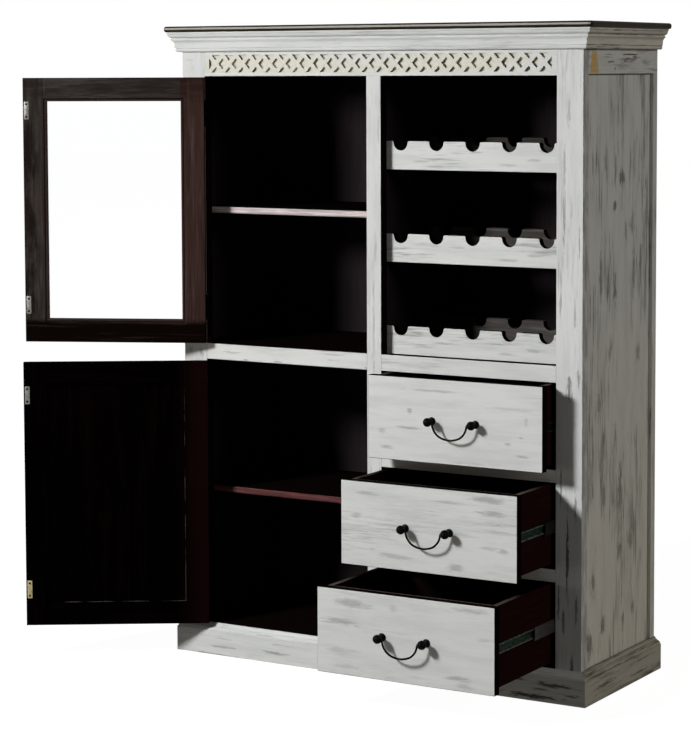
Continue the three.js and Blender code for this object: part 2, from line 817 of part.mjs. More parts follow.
// An open box on a raised bottom, with the slides' inner channels fixed to its sides.
function drawerBox(under, middle) {
  const x = [centreEdge + slideSpace, openingEdge - slideSpace];
  const y = [drawerFrontThickness, drawerFrontThickness + drawerBoxDepth];
  const low = under + drawerBoxLift;
  const high = under + drawerOpening - drawerGap - drawerBoxDrop;
  const inside = ([a, b]) => [a + drawerWall, b - drawerWall];
  const bottom = low + drawerBottomLift;
  const hollow = board(inside(x), inside(y), [bottom + drawerBottomThickness, high + overrun]);
  const below = board(inside(x), inside(y), [low - overrun, bottom]);
  let box = solid(board(x, y, [low, high])).subtract(solid(hollow)).subtract(solid(below));
  for (const [, wall, direction] of slideWalls) {
    box = box.add(solid(slideRun(innerSection, wall, direction, middle, y)));
  }
  return shaped(box);
}

// A post is bored on its inner side, where the ball is flattened, for the end of the bail.
function pullPost(inward) {
  const post = solid(turned(ballProfile(ballRadius, ballStandOff, rosetteRadius)));
  const flat = inward * ballFlat;
  const past = inward * (ballRadius + overrun);
  const floor = inward * (ballFlat - bailBoreDepth);
  const order = (a, b) => (a < b ? [a, b] : [b, a]);
  const reach = ballStandOff + ballRadius + overrun;
  const side = ballRadius + overrun;
  const shaving = board(order(flat, past), [-reach, overrun - ballStandOff + ballRadius], [-side, side]);
  const bore = barAlongX(order(floor, past), [-ballStandOff, 0], bailBoreRadius, turnedSides);
  return shaped(post.subtract(solid(shaving)).subtract(solid(bore)));
}

// The bail is one rod: a pin at each end, then a drooping curve between the two posts.
function bail() {
  const half = pullSpan / 2;
  const flat = half - ballFlat;
  const right = [[flat + bailPinDepth, 0], [flat, 0]];
  for (const [across, down] of bailShares) {
    right.push([across * half, down * half]);
  }
  const left = right.slice(0, -1).reverse().map(([x, z]) => [-x, z]);
  const places = [...right, ...left].map(([x, z]) => new THREE.Vector3(x, -ballStandOff, z));
  const path = new THREE.CatmullRomCurve3(places, false, 'centripetal');
  const section = new THREE.Shape();
  section.absarc(0, 0, bailRodRadius, 0, 2 * Math.PI, false);
  const rod = new THREE.ExtrudeGeometry(section, {
    steps: bailSteps,
    curveSegments: rodSides,
    extrudePath: path,
    bevelEnabled: false,
  });
  return shaped(solid(rod));
}

const drawersDrawnOut = [
  topDrawerOpenLength,
  middleDrawerOpenLength,
  drawerBoxDepth - bottomDrawerHeldLength,
];
drawerMiddles.forEach((middle, k) => {
  const number = k + 1;
  const under = middle - drawerOpening / 2;
  const drawnOut = drawersDrawnOut[k];
  const slideEnd = frameThickness + slideLength;
  for (const [side, wall, direction] of slideWalls) {
    addPiece(cabinet, `slide_cabinet_${side}_${number}`,
      slideRun(outerSection, wall, direction, middle, [frameThickness, slideEnd]), zincSteel);
  }

  const between = new THREE.Group();
  between.position.y = -drawnOut / 2;
  cabinet.add(between);
  const midStart = frameThickness + slideMidSetback;
  for (const [side, wall, direction] of slideWalls) {
    addPiece(between, `slide_mid_${side}_${number}`,
      slideRun(midSection, wall, direction, middle, [midStart, midStart + slideMidLength]), zincSteel);
  }

  const drawer = new THREE.Group();
  drawer.position.y = -drawnOut;
  cabinet.add(drawer);
  addPiece(drawer, `drawer_${number}_front`, drawerFront(under), whitePaint);
  addPiece(drawer, `drawer_${number}_box`, drawerBox(under, middle), darkWood);

  const pull = new THREE.Group();
  pull.position.set((centreEdge + openingEdge) / 2, 0, middle);
  drawer.add(pull);
  const postLeft = addPiece(pull, `pull_${number}_post_left`, pullPost(1), blackIron);
  postLeft.position.x = -pullSpan / 2;
  const postRight = addPiece(pull, `pull_${number}_post_right`, pullPost(-1), blackIron);
  postRight.position.x = pullSpan / 2;
  addPiece(pull, `pull_${number}_bail`, bail(), blackIron);
});

export default cabinet;
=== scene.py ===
"""Dresses a painted wine cabinet: worn white paint over dark wood, iron pulls, side slides, and a
pale studio."""

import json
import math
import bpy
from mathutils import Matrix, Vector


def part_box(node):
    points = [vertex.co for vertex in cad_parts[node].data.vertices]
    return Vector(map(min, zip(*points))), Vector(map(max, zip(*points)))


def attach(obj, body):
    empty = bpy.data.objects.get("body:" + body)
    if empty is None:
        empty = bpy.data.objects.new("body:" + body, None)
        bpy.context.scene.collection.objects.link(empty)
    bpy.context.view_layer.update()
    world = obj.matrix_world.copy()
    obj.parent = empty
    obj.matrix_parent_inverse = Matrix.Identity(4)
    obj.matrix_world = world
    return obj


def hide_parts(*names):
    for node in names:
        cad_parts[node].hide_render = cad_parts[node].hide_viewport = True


bl_info = {
    "name": "Painted Wine Cabinet",
    "version": (1, 0, 0),
    "blender": (4, 5, 0),
    "location": "3D View > Sidebar > Cabinet",
    "description": "Finishes and fittings of a painted wine cabinet with doors, drawers and bottle rails",
    "category": "Add Mesh",
}

from collections import namedtuple

import bmesh
import bpy
from bpy.props import FloatProperty, FloatVectorProperty, IntProperty, PointerProperty
from mathutils import Matrix, Vector

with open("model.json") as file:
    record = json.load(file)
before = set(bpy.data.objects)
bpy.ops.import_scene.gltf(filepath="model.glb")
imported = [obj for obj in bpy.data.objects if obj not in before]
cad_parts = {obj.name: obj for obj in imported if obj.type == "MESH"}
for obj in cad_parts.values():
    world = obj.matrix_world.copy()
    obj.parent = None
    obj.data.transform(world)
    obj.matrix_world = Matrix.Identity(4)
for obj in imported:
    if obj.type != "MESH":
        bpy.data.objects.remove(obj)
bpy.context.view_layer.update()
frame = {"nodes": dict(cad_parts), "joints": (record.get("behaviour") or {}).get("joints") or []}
nodes = frame["nodes"]
joints = {joint["name"]: joint for joint in frame["joints"]}

# The cabinet's own planes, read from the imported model, and the depth of the sides' sunk panels.
front_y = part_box("stile_center")[0].y
left_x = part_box("side_left")[0].x
right_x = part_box("side_right")[1].x
panel_depth = 0.009

# A door as it lies about its hinge pin: its width, its outer face, its thickness and its framing.
door_width = 0.464
door_face = 0.0045
door_thickness = 0.022
door_member = 0.0595


def colour_prop(name, description, default):
    return FloatVectorProperty(
        name=name, description=description, subtype="COLOR", size=3, min=0.0, max=1.0, default=default
    )


def length_prop(name, description, default):
    return FloatProperty(
        name=name, description=description, subtype="DISTANCE", unit="LENGTH", min=0.0, default=default
    )


def count_prop(name, description, least, default):
    return IntProperty(name=name, description=description, min=least, default=default)


def power_prop(name, description, default):
    return FloatProperty(name=name, description=description, unit="POWER", min=0.0, default=default)


def strength_prop(name, description, default):
    return FloatProperty(name=name, description=description, min=0.0, default=default)


class PaintSettings(bpy.types.PropertyGroup):
    paint: colour_prop("Paint", "White paint where it is whole", (0.64, 0.65, 0.635))
    thin_paint: colour_prop("Thin paint", "White paint where it lies thin", (0.56, 0.572, 0.567))
    # this grey is also painted shade: the line round the sides' sunk panels and the lines along the
    # mouldings' quirks
    rubbed: colour_prop("Rubbed", "Grey left where the paint is rubbed through", (0.075, 0.078, 0.078))
    ivory: colour_prop("Ivory", "Paint on the carved strips", (0.66, 0.645, 0.56))
    bare_wood: colour_prop("Bare wood", "Wood where a chip of paint is gone", (0.62, 0.4, 0.13))
    streak_cover: FloatProperty(
        name="Streaks", description="How much of the paint is rubbed in streaks", subtype="FACTOR",
        min=0.0, max=1.0, default=0.5)
    edge_wear: length_prop("Edge wear", "How far the rubbed edges reach in", 0.0012)


class WoodSettings(bpy.types.PropertyGroup):
    # near black beyond a stain: the inside's dark stain, darkened further as painted shade
    inside: colour_prop("Inside", "Stain on the inside of the cabinet", (0.004, 0.0022, 0.002))
    door_stain: colour_prop("Door stain", "Reddish stain by the upper door's hinges", (0.036, 0.0195, 0.0165))
    door_grey: colour_prop("Door grey", "Greyed stain on the rest of the glazed door", (0.036, 0.029, 0.026))
    door_dark: colour_prop("Door dark", "Darkest stain on the glazed door", (0.0035, 0.0017, 0.0012))
    door_rub: colour_prop("Door rub", "Rubbed grain on the glazed door", (0.11, 0.105, 0.1))
    # near black beyond a stain: darkened as painted shade on the panelled door's inner face and the lower
    # middle wall
    panel_stain: colour_prop("Panel stain", "Stain on the panelled door", (0.0008, 0.0004, 0.0004))
    drawer_stain: colour_prop("Drawer stain", "Stain on the drawer sides", (0.014, 0.0042, 0.0034))
    # partly wear, partly painted light: the lit top edges of the drawer sides
    drawer_edge_wear_and_light: colour_prop("Drawer edge", "Rubbed top edge of the drawer sides", (0.09, 0.072, 0.062))
    lining: colour_prop("Lining", "Stain on the inner side of the panels", (0.02, 0.016, 0.018))
    rear_rail: colour_prop("Rear rail", "Thin stain on the rear bottle rails", (0.04, 0.036, 0.034))
    top: colour_prop("Top", "Waxed top board", (0.022, 0.016, 0.012))
    shelf_edge: colour_prop("Shelf edge", "Rubbed front edge of the upper shelf", (0.74, 0.65, 0.66))
    shelf_red: colour_prop("Shelf red", "Reddish front edge of the lower shelf", (0.13, 0.05, 0.05))


class MetalSettings(bpy.types.PropertyGroup):
    iron: colour_prop("Iron", "Blackened iron of the pulls and hinges", (0.001, 0.001, 0.001))
    # darkened as painted shade in the slides' channels
    zinc: colour_prop("Zinc", "Zinc plate of the slides", (0.02, 0.036, 0.028))
    worn_zinc: colour_prop("Worn zinc", "Dulled plate of the outer slide members", (0.03, 0.028, 0.024))
    # painted highlight: the lit lips of the slides
    zinc_lip_highlight: colour_prop("Zinc edge", "Bright rolled lips of the slides", (0.16, 0.2, 0.165))
    plate: colour_prop("Catch plate", "Steel of the catch plates", (0.2, 0.2, 0.18))
    brass: colour_prop("Brass", "Yellow plating of the lower catch plate", (0.42, 0.35, 0.19))
    plate_width: length_prop("Plate width", "Width of a catch plate", 0.0122)
    plate_height: length_prop("Plate height", "Height of a catch plate", 0.0455)
    plate_thickness: length_prop("Plate thickness", "Thickness of a catch plate", 0.0015)
    screw_radius: length_prop("Screw radius", "Radius of a screw head", 0.0028)


class FittingSettings(bpy.types.PropertyGroup):
    eased_edge: length_prop("Eased edge", "Rounding on the edges of the boards", 0.0008)
    turned_steps: count_prop("Turned steps", "Steps round a turned piece", 12, 40)
    rod_steps: count_prop("Rod steps", "Steps round the rod of a bail", 8, 16)


class StudioSettings(bpy.types.PropertyGroup):
    key: power_prop("Key", "Power of the main lamp", 42.0)
    fill: power_prop("Fill", "Power of the low soft lamp", 4.5)
    side: strength_prop("Side", "Strength of the light on the right side", 0.86)
    key_radius: length_prop("Key radius", "Radius of the main lamp", 0.28)
    fill_radius: length_prop("Fill radius", "Radius of the low soft lamp", 0.7)
    sky: strength_prop("Sky", "Strength of the even light", 0.024)


class Field:
    """A value, colour or shader output in a node tree. Arithmetic on it adds Math nodes."""

    def __init__(self, tree, socket):
        self.tree = tree
        self.socket = socket

    def __add__(self, other):
        return self.tree.math("ADD", self, other)

    def __sub__(self, other):
        return self.tree.math("SUBTRACT", self, other)

    def __rsub__(self, other):
        return self.tree.math("SUBTRACT", other, self)

    def __mul__(self, other):
        return self.tree.math("MULTIPLY", self, other)

    def __abs__(self):
        return self.tree.math("ABSOLUTE", self)

    def most(self, other):
        return self.tree.math("MAXIMUM", self, other)

    def step(self, low, high):
        """0 below low, 1 above high and smooth between them; low may lie above high."""
        falls = low > high
        return self.tree.made("MapRange", "Result", {
            "Value": self, "From Min": min(low, high), "From Max": max(low, high),
            "To Min": float(falls), "To Max": float(not falls)}, interpolation_type="SMOOTHSTEP")


class Nodes:
    """Short names for adding nodes to one tree."""

    def __init__(self, tree):
        self.tree = tree
        tree.nodes.clear()

    def add(self, kind, **settings):
        node = self.tree.nodes.new("ShaderNode" + kind)
        for key, value in settings.items():
            setattr(node, key, value)
        return node

    def feed(self, socket, value):
        if isinstance(value, Field):
            self.tree.links.new(value.socket, socket)
        elif hasattr(value, "__len__"):
            size = len(socket.default_value)
            socket.default_value = (tuple(value) + (1.0,) * size)[:size]
        else:
            socket.default_value = value

    def made(self, kind, output, inputs, **settings):
        """One output of a new node whose inputs are fed by name or number."""
        node = self.add(kind, **settings)
        for key, value in inputs.items():
            self.feed(node.inputs[key], value)
        return Field(self, node.outputs[output])

    def math(self, operation, *values):
        return self.made("Math", 0, dict(enumerate(values)), operation=operation)

    def seen_straight(self):
        """1 for what the camera, a reflection or a pane shows, and 0 for light on its way to a surface."""
        path = self.add("LightPath").outputs
        camera, glossy, through = (
            Field(self, path[f"Is {kind} Ray"]) for kind in ("Camera", "Glossy", "Transmission"))
        return camera.most(glossy.most(through))


class Shader(Nodes):
    """One node-built material."""

    def __init__(self, name):
        self.material = bpy.data.materials.new(name)
        self.material.use_nodes = True
        super().__init__(self.material.node_tree)
        self.output = self.add("OutputMaterial")
        self.surface = self.add("BsdfPrincipled")
        self.tree.links.new(self.surface.outputs["BSDF"], self.output.inputs["Surface"])
        self.place = Field(self, self.add("TexCoord").outputs["Object"])

    def blend(self, share, first, second, kind="MIX"):
        return self.made("Mix", 2, {0: share, 6: first, 7: second}, data_type="RGBA", blend_type=kind)

    def axes(self, place=None):
        node = self.add("SeparateXYZ")
        self.feed(node.inputs[0], place or self.place)
        return [Field(self, output) for output in node.outputs]

    def measured_from(self, origin, angle=0.0, reach=(1.0, 1.0, 1.0)):
        """The position as seen from an origin, turned about Z and in units of a reach along each axis."""
        return self.made("Mapping", 0, {
            "Vector": self.place, "Location": origin, "Rotation": (0.0, 0.0, angle), "Scale": reach,
        }, vector_type="TEXTURE")

    def noise(self, grain, along, across, seed=0.0, detail=3.0, roughness=0.6, distortion=0.0, place=None):
        """Noise drawn out along one axis; along and across are features per metre."""
        drawn_out = self.made("Mapping", 0, {
            "Vector": place or self.place,
            "Scale": tuple(along if axis == grain else across for axis in "XYZ"),
            "Location": (seed * 7.31, seed * 3.17, seed * 5.77)})
        return self.made("TexNoise", "Fac", {
            "Vector": drawn_out, "Scale": 1.0, "Detail": detail, "Roughness": roughness,
            "Distortion": distortion})

    def bump(self, height, strength, distance):
        return self.made("Bump", "Normal", {"Strength": strength, "Distance": distance, "Height": height})

    def finish(self, colour, roughness, normal=None, specular=0.0, metallic=0.0):
        sockets = {"Base Color": colour, "Roughness": roughness, "Specular IOR Level": specular,
                   "Metallic": metallic}
        for name, value in sockets.items():
            self.feed(self.surface.inputs[name], value)
        if normal is not None:
            self.feed(self.surface.inputs["Normal"], normal)
        return self.material


def scaled(tint, share):
    return tuple(part * share for part in tint)


def strongest(shares):
    total = shares[0]
    for share in shares[1:]:
        total = total.most(share)
    return total


# Rubbed marks on one face of a node, each (along, up, half length, half height, strength) in shares of
# the face. Crisp marks have ragged ends and soft ones fade out.
Marks = namedtuple("Marks", "node face crisp places")


def rubbed_marks(shader, marks, ragged):
    low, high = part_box(marks.node)
    face = ["XYZ".index(axis) for axis in marks.face]
    fade = 0.5 - 0.32 * marks.crisp
    shares = []
    for *middle, half_length, half_height, strength in marks.places:
        centre = Vector((0.0, 0.0, 0.0))
        reach = Vector((1000.0, 1000.0, 1000.0))
        for axis, share, half in zip(face, middle, (half_length, half_height)):
            span = high[axis] - low[axis]
            centre[axis] = low[axis] + share * span
            reach[axis] = half * span
        distance = shader.made(
            "VectorMath", "Value", {0: shader.measured_from(centre, 0.0, reach)}, operation="LENGTH")
        uneven = ragged * (2.0 + 1.6 * marks.crisp) + (distance - (1.0 + 0.8 * marks.crisp))
        shares.append(uneven.step(0.62 + fade, 0.62 - fade) * strength)
    return strongest(shares)


def edge_wear_and_crease_shade(places, edges, reach, ragged):
    """Wear on the named edges, and on the mouldings painted shade along their quirks, fading over an uneven
    reach. Edges are (axis, place, strength).
    """
    shares = []
    for axis, place, strength in edges:
        uneven = abs(places["XYZ".index(axis)] - place) + ragged * (reach * 3.2)
        shares.append(uneven.step(reach * 2.4, reach * 1.1) * strength)
    return strongest(shares)


def paint_layers(shader, grain, seed, cover, edges=(), marks=None, place=None):
    """Colour, rubbed share and normal of dry-brushed white paint with its grain along one axis."""
    paint = bpy.context.scene.cabinet_paint
    patches = shader.noise(grain, 2.6, 11.0, seed + 0.3, detail=2.0, place=place)
    brush = shader.noise(grain, 8.0, 140.0, seed, detail=6.0, roughness=0.66, place=place)
    fibre = shader.noise(grain, 15.0, 360.0, seed + 0.7, detail=4.0, place=place)
    clouds = shader.noise(grain, 5.0, 34.0, seed + 1.9, detail=4.0, place=place)
    threads = fibre.step(0.38, 0.62)
    drift = patches * 0.9 + (brush - 0.45)
    low = 0.68 - 0.24 * paint.streak_cover * cover
    smear = drift.step(low, low + 0.16) * (threads * 0.65 + 0.35)
    hair = fibre.step(0.54, 0.72) * patches.step(0.42, 0.62)
    rubbed = (smear * min(0.8, 0.6 * cover)).most(hair * (0.3 * cover))
    if marks:
        ragged = shader.noise(grain, 36.0, 300.0, seed + 3.3, detail=5.0, roughness=0.62, place=place)
        rubbed = rubbed.most(rubbed_marks(shader, marks, ragged))
    if edges:
        ragged = shader.noise(grain, 14.0, 60.0, seed + 2.7, place=place)
        rubbed = rubbed.most(edge_wear_and_crease_shade(shader.axes(place), edges, paint.edge_wear, ragged))
    thin = (threads * 0.07 + clouds).step(0.4, 0.76)
    colour = shader.blend(rubbed, shader.blend(thin, paint.paint, paint.thin_paint), paint.rubbed)
    return colour, rubbed, shader.bump(fibre - rubbed * 0.9, 0.25, 0.0003)


def paint_roughness(rubbed):
    return rubbed * 0.12 + 0.52


def stain_layers(shader, grain, dark, rub, amount, seed, place=None):
    """Colour and normal of dark stained wood whose raised grain is rubbed lighter."""
    pores = shader.noise(grain, 8.0, 420.0, seed, detail=4.0, roughness=0.7, distortion=0.15, place=place)
    bands = shader.noise(grain, 3.0, 40.0, seed + 1.3, detail=4.0, distortion=0.8, place=place)
    colour = shader.blend(bands.step(0.45, 0.75) * pores.step(0.35, 0.7) * amount, dark, rub)
    colour = shader.blend(pores.step(0.52, 0.36) * 0.6, colour, scaled(dark, 0.45))
    return colour, shader.bump(pores, 0.3, 0.0002)


def round_the_corner(x, y):
    """1 on the sides of a mitred moulding, and 0 on its front."""
    return ((abs(x) - right_x) - (front_y - y)).step(-0.0005, 0.0005)


def painted_board(name, grain, seed, cover, edges, planes, marks=None):
    """Board painted on its planes, given as (axis, place, depth behind it), and stained near black elsewhere,
    stain and painted shade together.
    """
    wood = bpy.context.scene.cabinet_wood
    shader = Shader("worn_paint_" + name)
    colour, rubbed, normal = paint_layers(shader, grain, seed, cover, edges, marks)
    places = shader.axes()
    painted = strongest([
        abs(places["XYZ".index(axis)] - place).step(depth + 0.0006, depth + 0.0003)
        for axis, place, depth in planes])
    stain, _ = stain_layers(shader, grain, wood.inside, wood.drawer_stain, 0.5, seed + 5)
    return shader.finish(shader.blend(painted, stain, colour), paint_roughness(rubbed), normal)


def stained_board(name, grain, dark, rub, amount, seed):
    shader = Shader("dark_stain_" + name)
    colour, normal = stain_layers(shader, grain, dark, rub, amount, seed)
    return shader.finish(colour, 0.6, normal)


def steel_finish(name, tint, roughness, seed, metallic=0.6):
    """Plated steel with faint draw lines and clouded plating."""
    shader = Shader("plated_" + name)
    lines = shader.noise("Y", 6.0, 900.0, seed, detail=2.0)
    clouds = shader.noise("Y", 60.0, 120.0, seed + 1.0)
    colour = shader.blend(clouds.step(0.3, 0.75), tint, scaled(tint, 0.6))
    rough = clouds * 0.25 + (roughness - 0.08)
    return shader.finish(colour, rough, shader.bump(lines, 0.15, 0.0001), 0.12, metallic)


def iron_finish(name, seed):
    """Blackened iron, hammered very slightly, with rubbed high spots."""
    dark = bpy.context.scene.cabinet_metal.iron
    shader = Shader("black_iron_" + name)
    pits = shader.noise("X", 420.0, 420.0, seed, detail=4.0, roughness=0.65)
    broad = shader.noise("X", 90.0, 90.0, seed + 1.0, detail=2.0)
    colour = shader.blend(broad.step(0.45, 0.8), dark, scaled(dark, 3.0))
    return shader.finish(colour, pits * 0.14 + 0.1, shader.bump(pits, 0.25, 0.0004), 0.03)


def dress(node, material):
    mesh = nodes[node].data
    mesh.materials.clear()
    mesh.materials.append(material)


def ease(node):
    """Welds a copy of the board's corners in a modifier, then rounds its sharp edges a little."""
    board = nodes[node]
    weld = board.modifiers.new("weld", "WELD")
    weld.merge_threshold = 0.00001
    bevel = board.modifiers.new("eased_edges", "BEVEL")
    bevel.width = bpy.context.scene.cabinet_fittings.eased_edge
    bevel.segments = 2
    bevel.limit_method = "ANGLE"
    bevel.angle_limit = math.radians(50)
    bevel.harden_normals = False


def add_object(name, data):
    thing = bpy.data.objects.new(name, data)
    bpy.context.scene.collection.objects.link(thing)
    return thing


def place_piece(name, form, material, body, smooth_angle, instead_of=()):
    """Makes a closed form a piece of the cabinet, smooth but for edges sharper than an angle."""
    mesh = bpy.data.meshes.new(name)
    bmesh.ops.remove_doubles(form, verts=form.verts, dist=1e-7)
    bmesh.ops.recalc_face_normals(form, faces=form.faces)
    form.to_mesh(mesh)
    form.free()
    mesh.materials.append(material)
    for face in mesh.polygons:
        face.use_smooth = True
    mesh.set_sharp_from_angle(angle=math.radians(smooth_angle))
    piece = add_object(name, mesh)
    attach(piece, body)
    if instead_of:
        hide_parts(*instead_of)


def turned_form(profile, centre, axis, steps):
    """Spins a chain of (radius, height) pairs about an axis through the centre."""
    form = bmesh.new()
    axis = Vector(axis).normalized()
    side = axis.orthogonal().normalized()
    chain = [form.verts.new(Vector(centre) + side * radius + axis * height) for radius, height in profile]
    lines = [form.edges.new(pair) for pair in zip(chain, chain[1:])]
    bmesh.ops.spin(
        form, geom=chain + lines, cent=centre, axis=axis, angle=math.tau, steps=steps, use_merge=True
    )
    bmesh.ops.remove_doubles(form, verts=form.verts, dist=1e-6)
    bmesh.ops.dissolve_degenerate(form, edges=form.edges, dist=1e-7)
    bmesh.ops.recalc_face_normals(form, faces=form.faces)
    return form


def ball_on_neck(foot, neck_radius, radius, stand, steps):
    """A turned foot's profile, carried on round a ball whose centre stands at a height."""
    start = math.asin(neck_radius / radius) - math.pi / 2
    angles = [start + (math.pi / 2 - start) * step / steps for step in range(steps + 1)]
    return foot + [
        (max(0.0, radius * math.cos(angle)), stand + radius * math.sin(angle)) for angle in angles]


def door_pin(which):
    """Where a door's hinge pin stands, and the angle at which the door stands open at rest."""
    hinge = joints[f"{which}_door_hinge"]
    x, y, _ = hinge["pos_m"]
    return (x, y, 0.0), -math.radians(hinge["range_deg"][1])


def door_turn(which):
    """The move from a door that lies about its pin to the door at rest."""
    pin, angle = door_pin(which)
    return Matrix.Translation(pin) @ Matrix.Rotation(angle, 4, "Z")


class CABINET_OT_carcass(bpy.types.Operator):
    """Worn white paint on the frame, sides, cornice and plinth, and dark stain with painted shade inside"""

    bl_idname = "cabinet.carcass"
    bl_label = "Dress the carcass"

    left_stile_marks = (
        (0.35, 0.956, 0.22, 0.002, 0.2), (0.45, 0.944, 0.06, 0.006, 0.14), (0.25, 0.492, 0.12, 0.008, 0.35),
        (0.75, 0.488, 0.1, 0.01, 0.4), (0.5, 0.03, 0.2, 0.008, 0.4),
    )
    right_stile_marks = (
        (0.45, 0.88, 0.08, 0.03, 0.35), (0.28, 0.72, 0.08, 0.05, 0.5), (0.86, 0.69, 0.05, 0.035, 0.5),
        (0.5, 0.47, 0.14, 0.024, 0.7), (0.85, 0.49, 0.08, 0.022, 0.55), (0.45, 0.22, 0.08, 0.09, 0.9),
        (0.12, 0.155, 0.07, 0.035, 0.8), (0.62, 0.05, 0.1, 0.024, 0.8), (0.3, 0.12, 0.08, 0.025, 0.7),
        (0.3, 0.8, 0.06, 0.035, 0.4), (0.7, 0.58, 0.06, 0.035, 0.4), (0.18, 0.6, 0.06, 0.03, 0.45),
        (0.75, 0.3, 0.06, 0.03, 0.6), (0.2, 0.33, 0.05, 0.04, 0.6), (0.8, 0.14, 0.06, 0.03, 0.6),
    )
    centre_stile_marks = (
        (0.82, 0.91, 0.07, 0.035, 0.3), (0.48, 0.57, 0.1, 0.14, 0.35), (0.25, 0.29, 0.08, 0.05, 0.4),
        (0.86, 0.3, 0.07, 0.03, 0.3), (0.6, 0.7, 0.14, 0.04, 0.28), (0.3, 0.15, 0.1, 0.02, 0.3),
    )
    mid_rail_marks = (
        (0.22, 0.5, 0.06, 0.1, 0.3), (0.3, 0.08, 0.015, 0.06, 0.55), (0.48, 0.1, 0.03, 0.07, 0.5),
        (0.77, 0.45, 0.03, 0.08, 0.2), (0.97, 0.1, 0.03, 0.08, 0.5), (0.03, 0.75, 0.03, 0.25, 0.4),
    )
    side_marks = (
        (0.432, 0.786, 0.023, 0.031, 0.6), (0.523, 0.777, 0.057, 0.018, 0.72),
        (0.426, 0.734, 0.034, 0.01, 0.72), (0.294, 0.8, 0.034, 0.025, 0.47),
        (0.11, 0.8, 0.011, 0.031, 0.68), (0.228, 0.627, 0.029, 0.05, 0.66),
        (0.337, 0.621, 0.023, 0.033, 0.6), (0.433, 0.608, 0.03, 0.031, 0.68),
        (0.808, 0.641, 0.025, 0.057, 0.6), (0.702, 0.63, 0.029, 0.048, 0.54),
        (0.682, 0.705, 0.039, 0.025, 0.47), (0.587, 0.692, 0.02, 0.021, 0.54),
        (0.127, 0.576, 0.014, 0.062, 0.54), (0.367, 0.519, 0.038, 0.025, 0.47),
        (0.774, 0.504, 0.039, 0.02, 0.47), (0.206, 0.44, 0.034, 0.027, 0.54),
        (0.444, 0.383, 0.025, 0.025, 0.47), (0.522, 0.303, 0.04, 0.06, 0.66),
        (0.278, 0.296, 0.034, 0.037, 0.61), (0.12, 0.31, 0.023, 0.021, 0.54),
        (0.674, 0.218, 0.046, 0.019, 0.54), (0.515, 0.207, 0.052, 0.02, 0.61),
        (0.134, 0.172, 0.034, 0.029, 0.61), (0.271, 0.102, 0.044, 0.022, 0.66),
        (0.572, 0.095, 0.028, 0.022, 0.6), (0.083, 0.081, 0.057, 0.03, 0.68),
        (0.712, 0.111, 0.038, 0.019, 0.54),
    )
    side_rail_marks = (
        (0.28, 0.961, 0.058, 0.0014, 0.6), (0.563, 0.961, 0.17, 0.0016, 0.9),
        (0.302, 0.95, 0.066, 0.002, 0.7), (0.563, 0.953, 0.15, 0.005, 0.7),
        (0.653, 0.956, 0.07, 0.003, 0.75), (0.822, 0.949, 0.08, 0.006, 0.35),
        (0.368, 0.939, 0.015, 0.005, 0.5), (0.48, 0.944, 0.12, 0.004, 0.35),
    )
    plinth_front_marks = (
        (0.228, 0.835, 0.028, 0.03, 0.5), (0.125, 0.28, 0.05, 0.05, 0.4), (0.255, 0.325, 0.047, 0.06, 0.5),
        (0.269, 0.598, 0.034, 0.04, 0.3), (0.121, 0.556, 0.028, 0.04, 0.25), (0.11, 0.02, 0.09, 0.04, 0.5),
        (0.93, 0.55, 0.05, 0.1, 0.9), (0.88, 0.15, 0.08, 0.09, 0.95), (0.84, 0.62, 0.04, 0.05, 0.8),
        (0.97, 0.3, 0.02, 0.07, 0.8), (0.9, 0.38, 0.03, 0.04, 0.7),
    )
    plinth_side_marks = (
        (0.25, 0.42, 0.17, 0.06, 0.75), (0.75, 0.62, 0.2, 0.04, 0.55), (0.72, 0.25, 0.2, 0.05, 0.6),
        (0.4, 0.8, 0.25, 0.03, 0.5), (0.5, 0.05, 0.4, 0.06, 0.5),
    )

    def execute(self, context):
        wood = context.scene.cabinet_wood
        paint = context.scene.cabinet_paint
        self.front_frame()
        for seed, side in ((10.0, "side_left"), (11.0, "side_right")):
            dress(side, self.side(paint, wood, side, seed))
            ease(side)
        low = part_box("cornice")[0].z
        dress("cornice", self.moulding(
            "cornice", 14.0, [low, low + 0.0088, low + 0.0343, low + 0.0442], (1.06, 1.0, 0.92)))
        low, high = (corner.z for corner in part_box("plinth"))
        dress("plinth", self.moulding(
            "plinth", 15.0, [low + 0.062, low + 0.0705, high], (0.68, 0.63, 0.56),
            Marks("plinth", "XZ", 0.7, self.plinth_front_marks),
            Marks("plinth", "YZ", 0.9, self.plinth_side_marks)))
        dress("back_panel", stained_board("back_panel", "Z", wood.lining, wood.drawer_stain, 0.5, 20.0))
        dress("partition", self.partition(wood, 21.0))
        dress("bottom_board", stained_board("bottom_board", "X", wood.inside, wood.drawer_stain, 0.5, 22.0))
        dress("top_board", self.top(wood))
        dress("frieze_rail", self.frieze(paint))
        return {"FINISHED"}

    def front_frame(self):
        """Paint on the uprights and rails, worn along both long edges."""
        boards = (
            ("stile_left", "Z", 0.7, 0.4, self.left_stile_marks, left_x),
            ("stile_right", "Z", 0.7, 0.8, self.right_stile_marks, right_x),
            ("stile_center", "Z", 0.5, 0.4, self.centre_stile_marks, None),
            ("mid_rail_left", "X", 0.6, 0.4, self.mid_rail_marks, None),
            ("mid_rail_right", "X", 0.6, 0.4, (), None),
            ("drawer_rail_lower", "X", 0.6, 0.4, (), None),
            ("drawer_rail_upper", "X", 0.6, 0.4, (), None),
        )
        for seed, (node, grain, cover, crisp, places, outer) in enumerate(boards, 1):
            across = "X" if grain == "Z" else "Z"
            edges = [(across, corner["XYZ".index(across)], 0.5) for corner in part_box(node)]
            planes = [("Y", front_y, 0.0)]
            if outer is not None:
                planes.append(("X", outer, panel_depth + 0.0005))
            marks = Marks(node, "XZ", crisp, places) if places else None
            dress(node, painted_board(node, grain, float(seed), cover, edges, planes, marks))
            ease(node)

